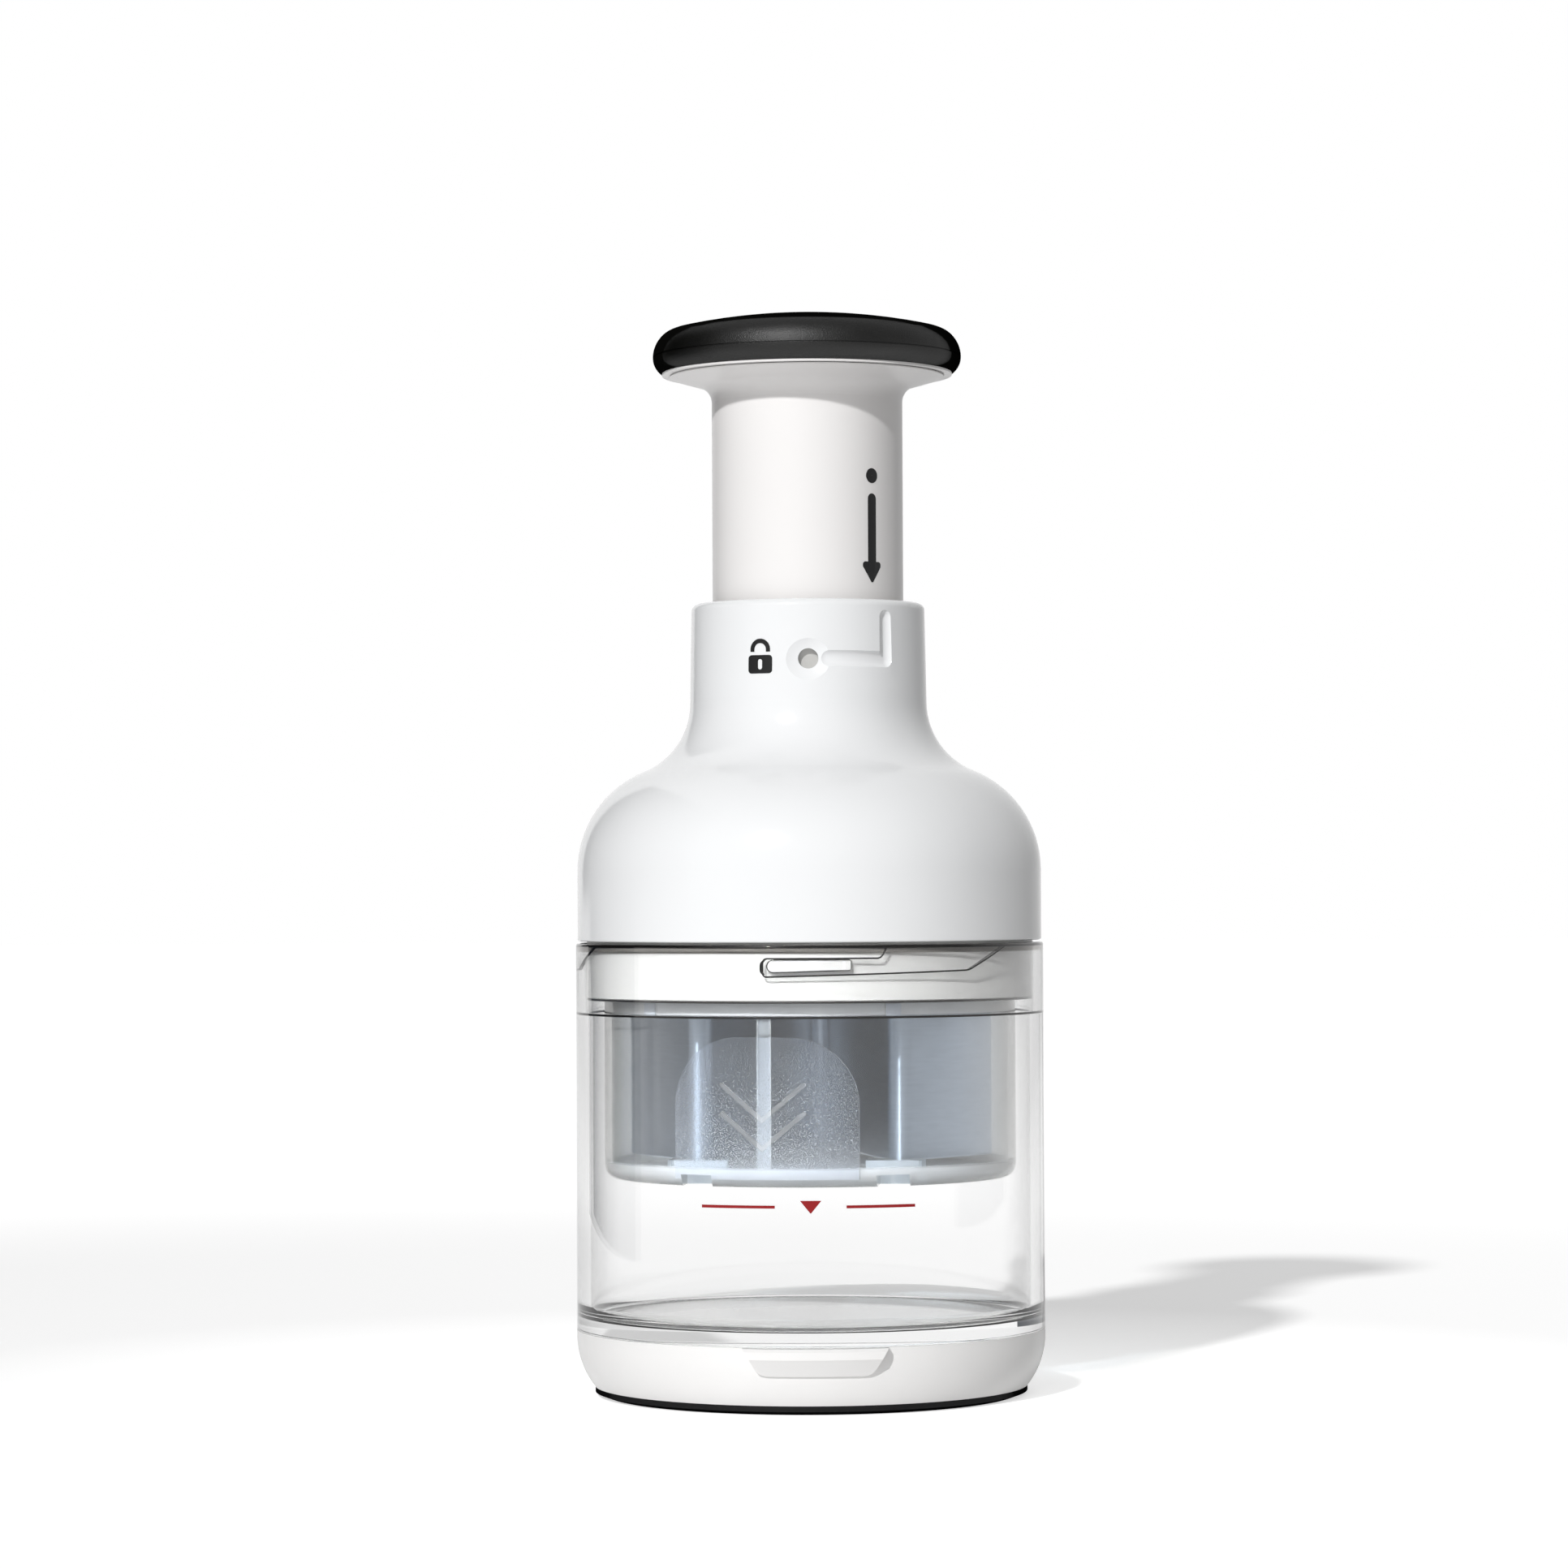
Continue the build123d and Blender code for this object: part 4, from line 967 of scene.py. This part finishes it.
level = add(
    tree,
    "MapRange",
    {
        "Value": side.outputs["Value"],
        "From Min": ROOM_START,
        "To Min": ROOM_LEVELS[0],
        "To Max": ROOM_LEVELS[1],
    },
    interpolation_type="SMOOTHSTEP",
)
apart = add(tree, "SeparateXYZ", {"Vector": way})
straight, through, seen = backdrop_rays(tree)
dim_front = add(tree, "Mix", {0: through, 2: MIRROR_FRONT, 3: CLEAR_FRONT})
front = add(
    tree,
    "MapRange",
    {
        "Value": apart.outputs["Y"],
        "From Min": FRONT_SPAN[0],
        "From Max": FRONT_SPAN[1],
        "To Min": dim_front.outputs[0],
    },
)
dim_right = add(tree, "Mix", {0: through, 2: MIRROR_RIGHT, 3: CLEAR_RIGHT})
right = add(
    tree,
    "MapRange",
    {
        "Value": apart.outputs["X"],
        "From Min": RIGHT_SPAN[0],
        "From Max": RIGHT_SPAN[1],
        "To Min": 1.0,
        "To Max": dim_right.outputs[0],
    },
)
dimmed = add(tree, "Math", {0: front.outputs["Result"], 1: right.outputs["Result"]}, operation="MULTIPLY")
white = add(tree, "Mix", {0: straight, 2: dimmed.outputs["Value"], 3: 1.0})
strength = add(tree, "Mix", {0: seen, 2: level.outputs["Result"], 3: white.outputs[0]})
glow = add(tree, "Background", {"Color": linear(ROOM_TONE), "Strength": strength.outputs[0]})
add(tree, "OutputWorld", {"Surface": glow.outputs["Background"]})

# Camera
# Long lens a metre away, a little under half the object's height, tipped up and turned slightly left.
# Colours come out as they are set, with no film curve.
EYE = (0.0, -1052.0, 110.0)
LENS = 111.6
SENSOR = 36.0
TIP_UP = 1.167
TURN_LEFT = 0.297
ROLL = 0.255
camera = bpy.data.objects.new("camera", bpy.data.cameras.new("camera"))
camera.data.lens = LENS
camera.data.sensor_width = SENSOR
camera.location = [place * MM for place in EYE]
camera.rotation_euler = (np.radians(90 + TIP_UP), np.radians(ROLL), np.radians(TURN_LEFT))
bpy.context.scene.collection.objects.link(camera)
bpy.context.scene.camera = camera
bpy.context.scene.view_settings.view_transform = "Standard"
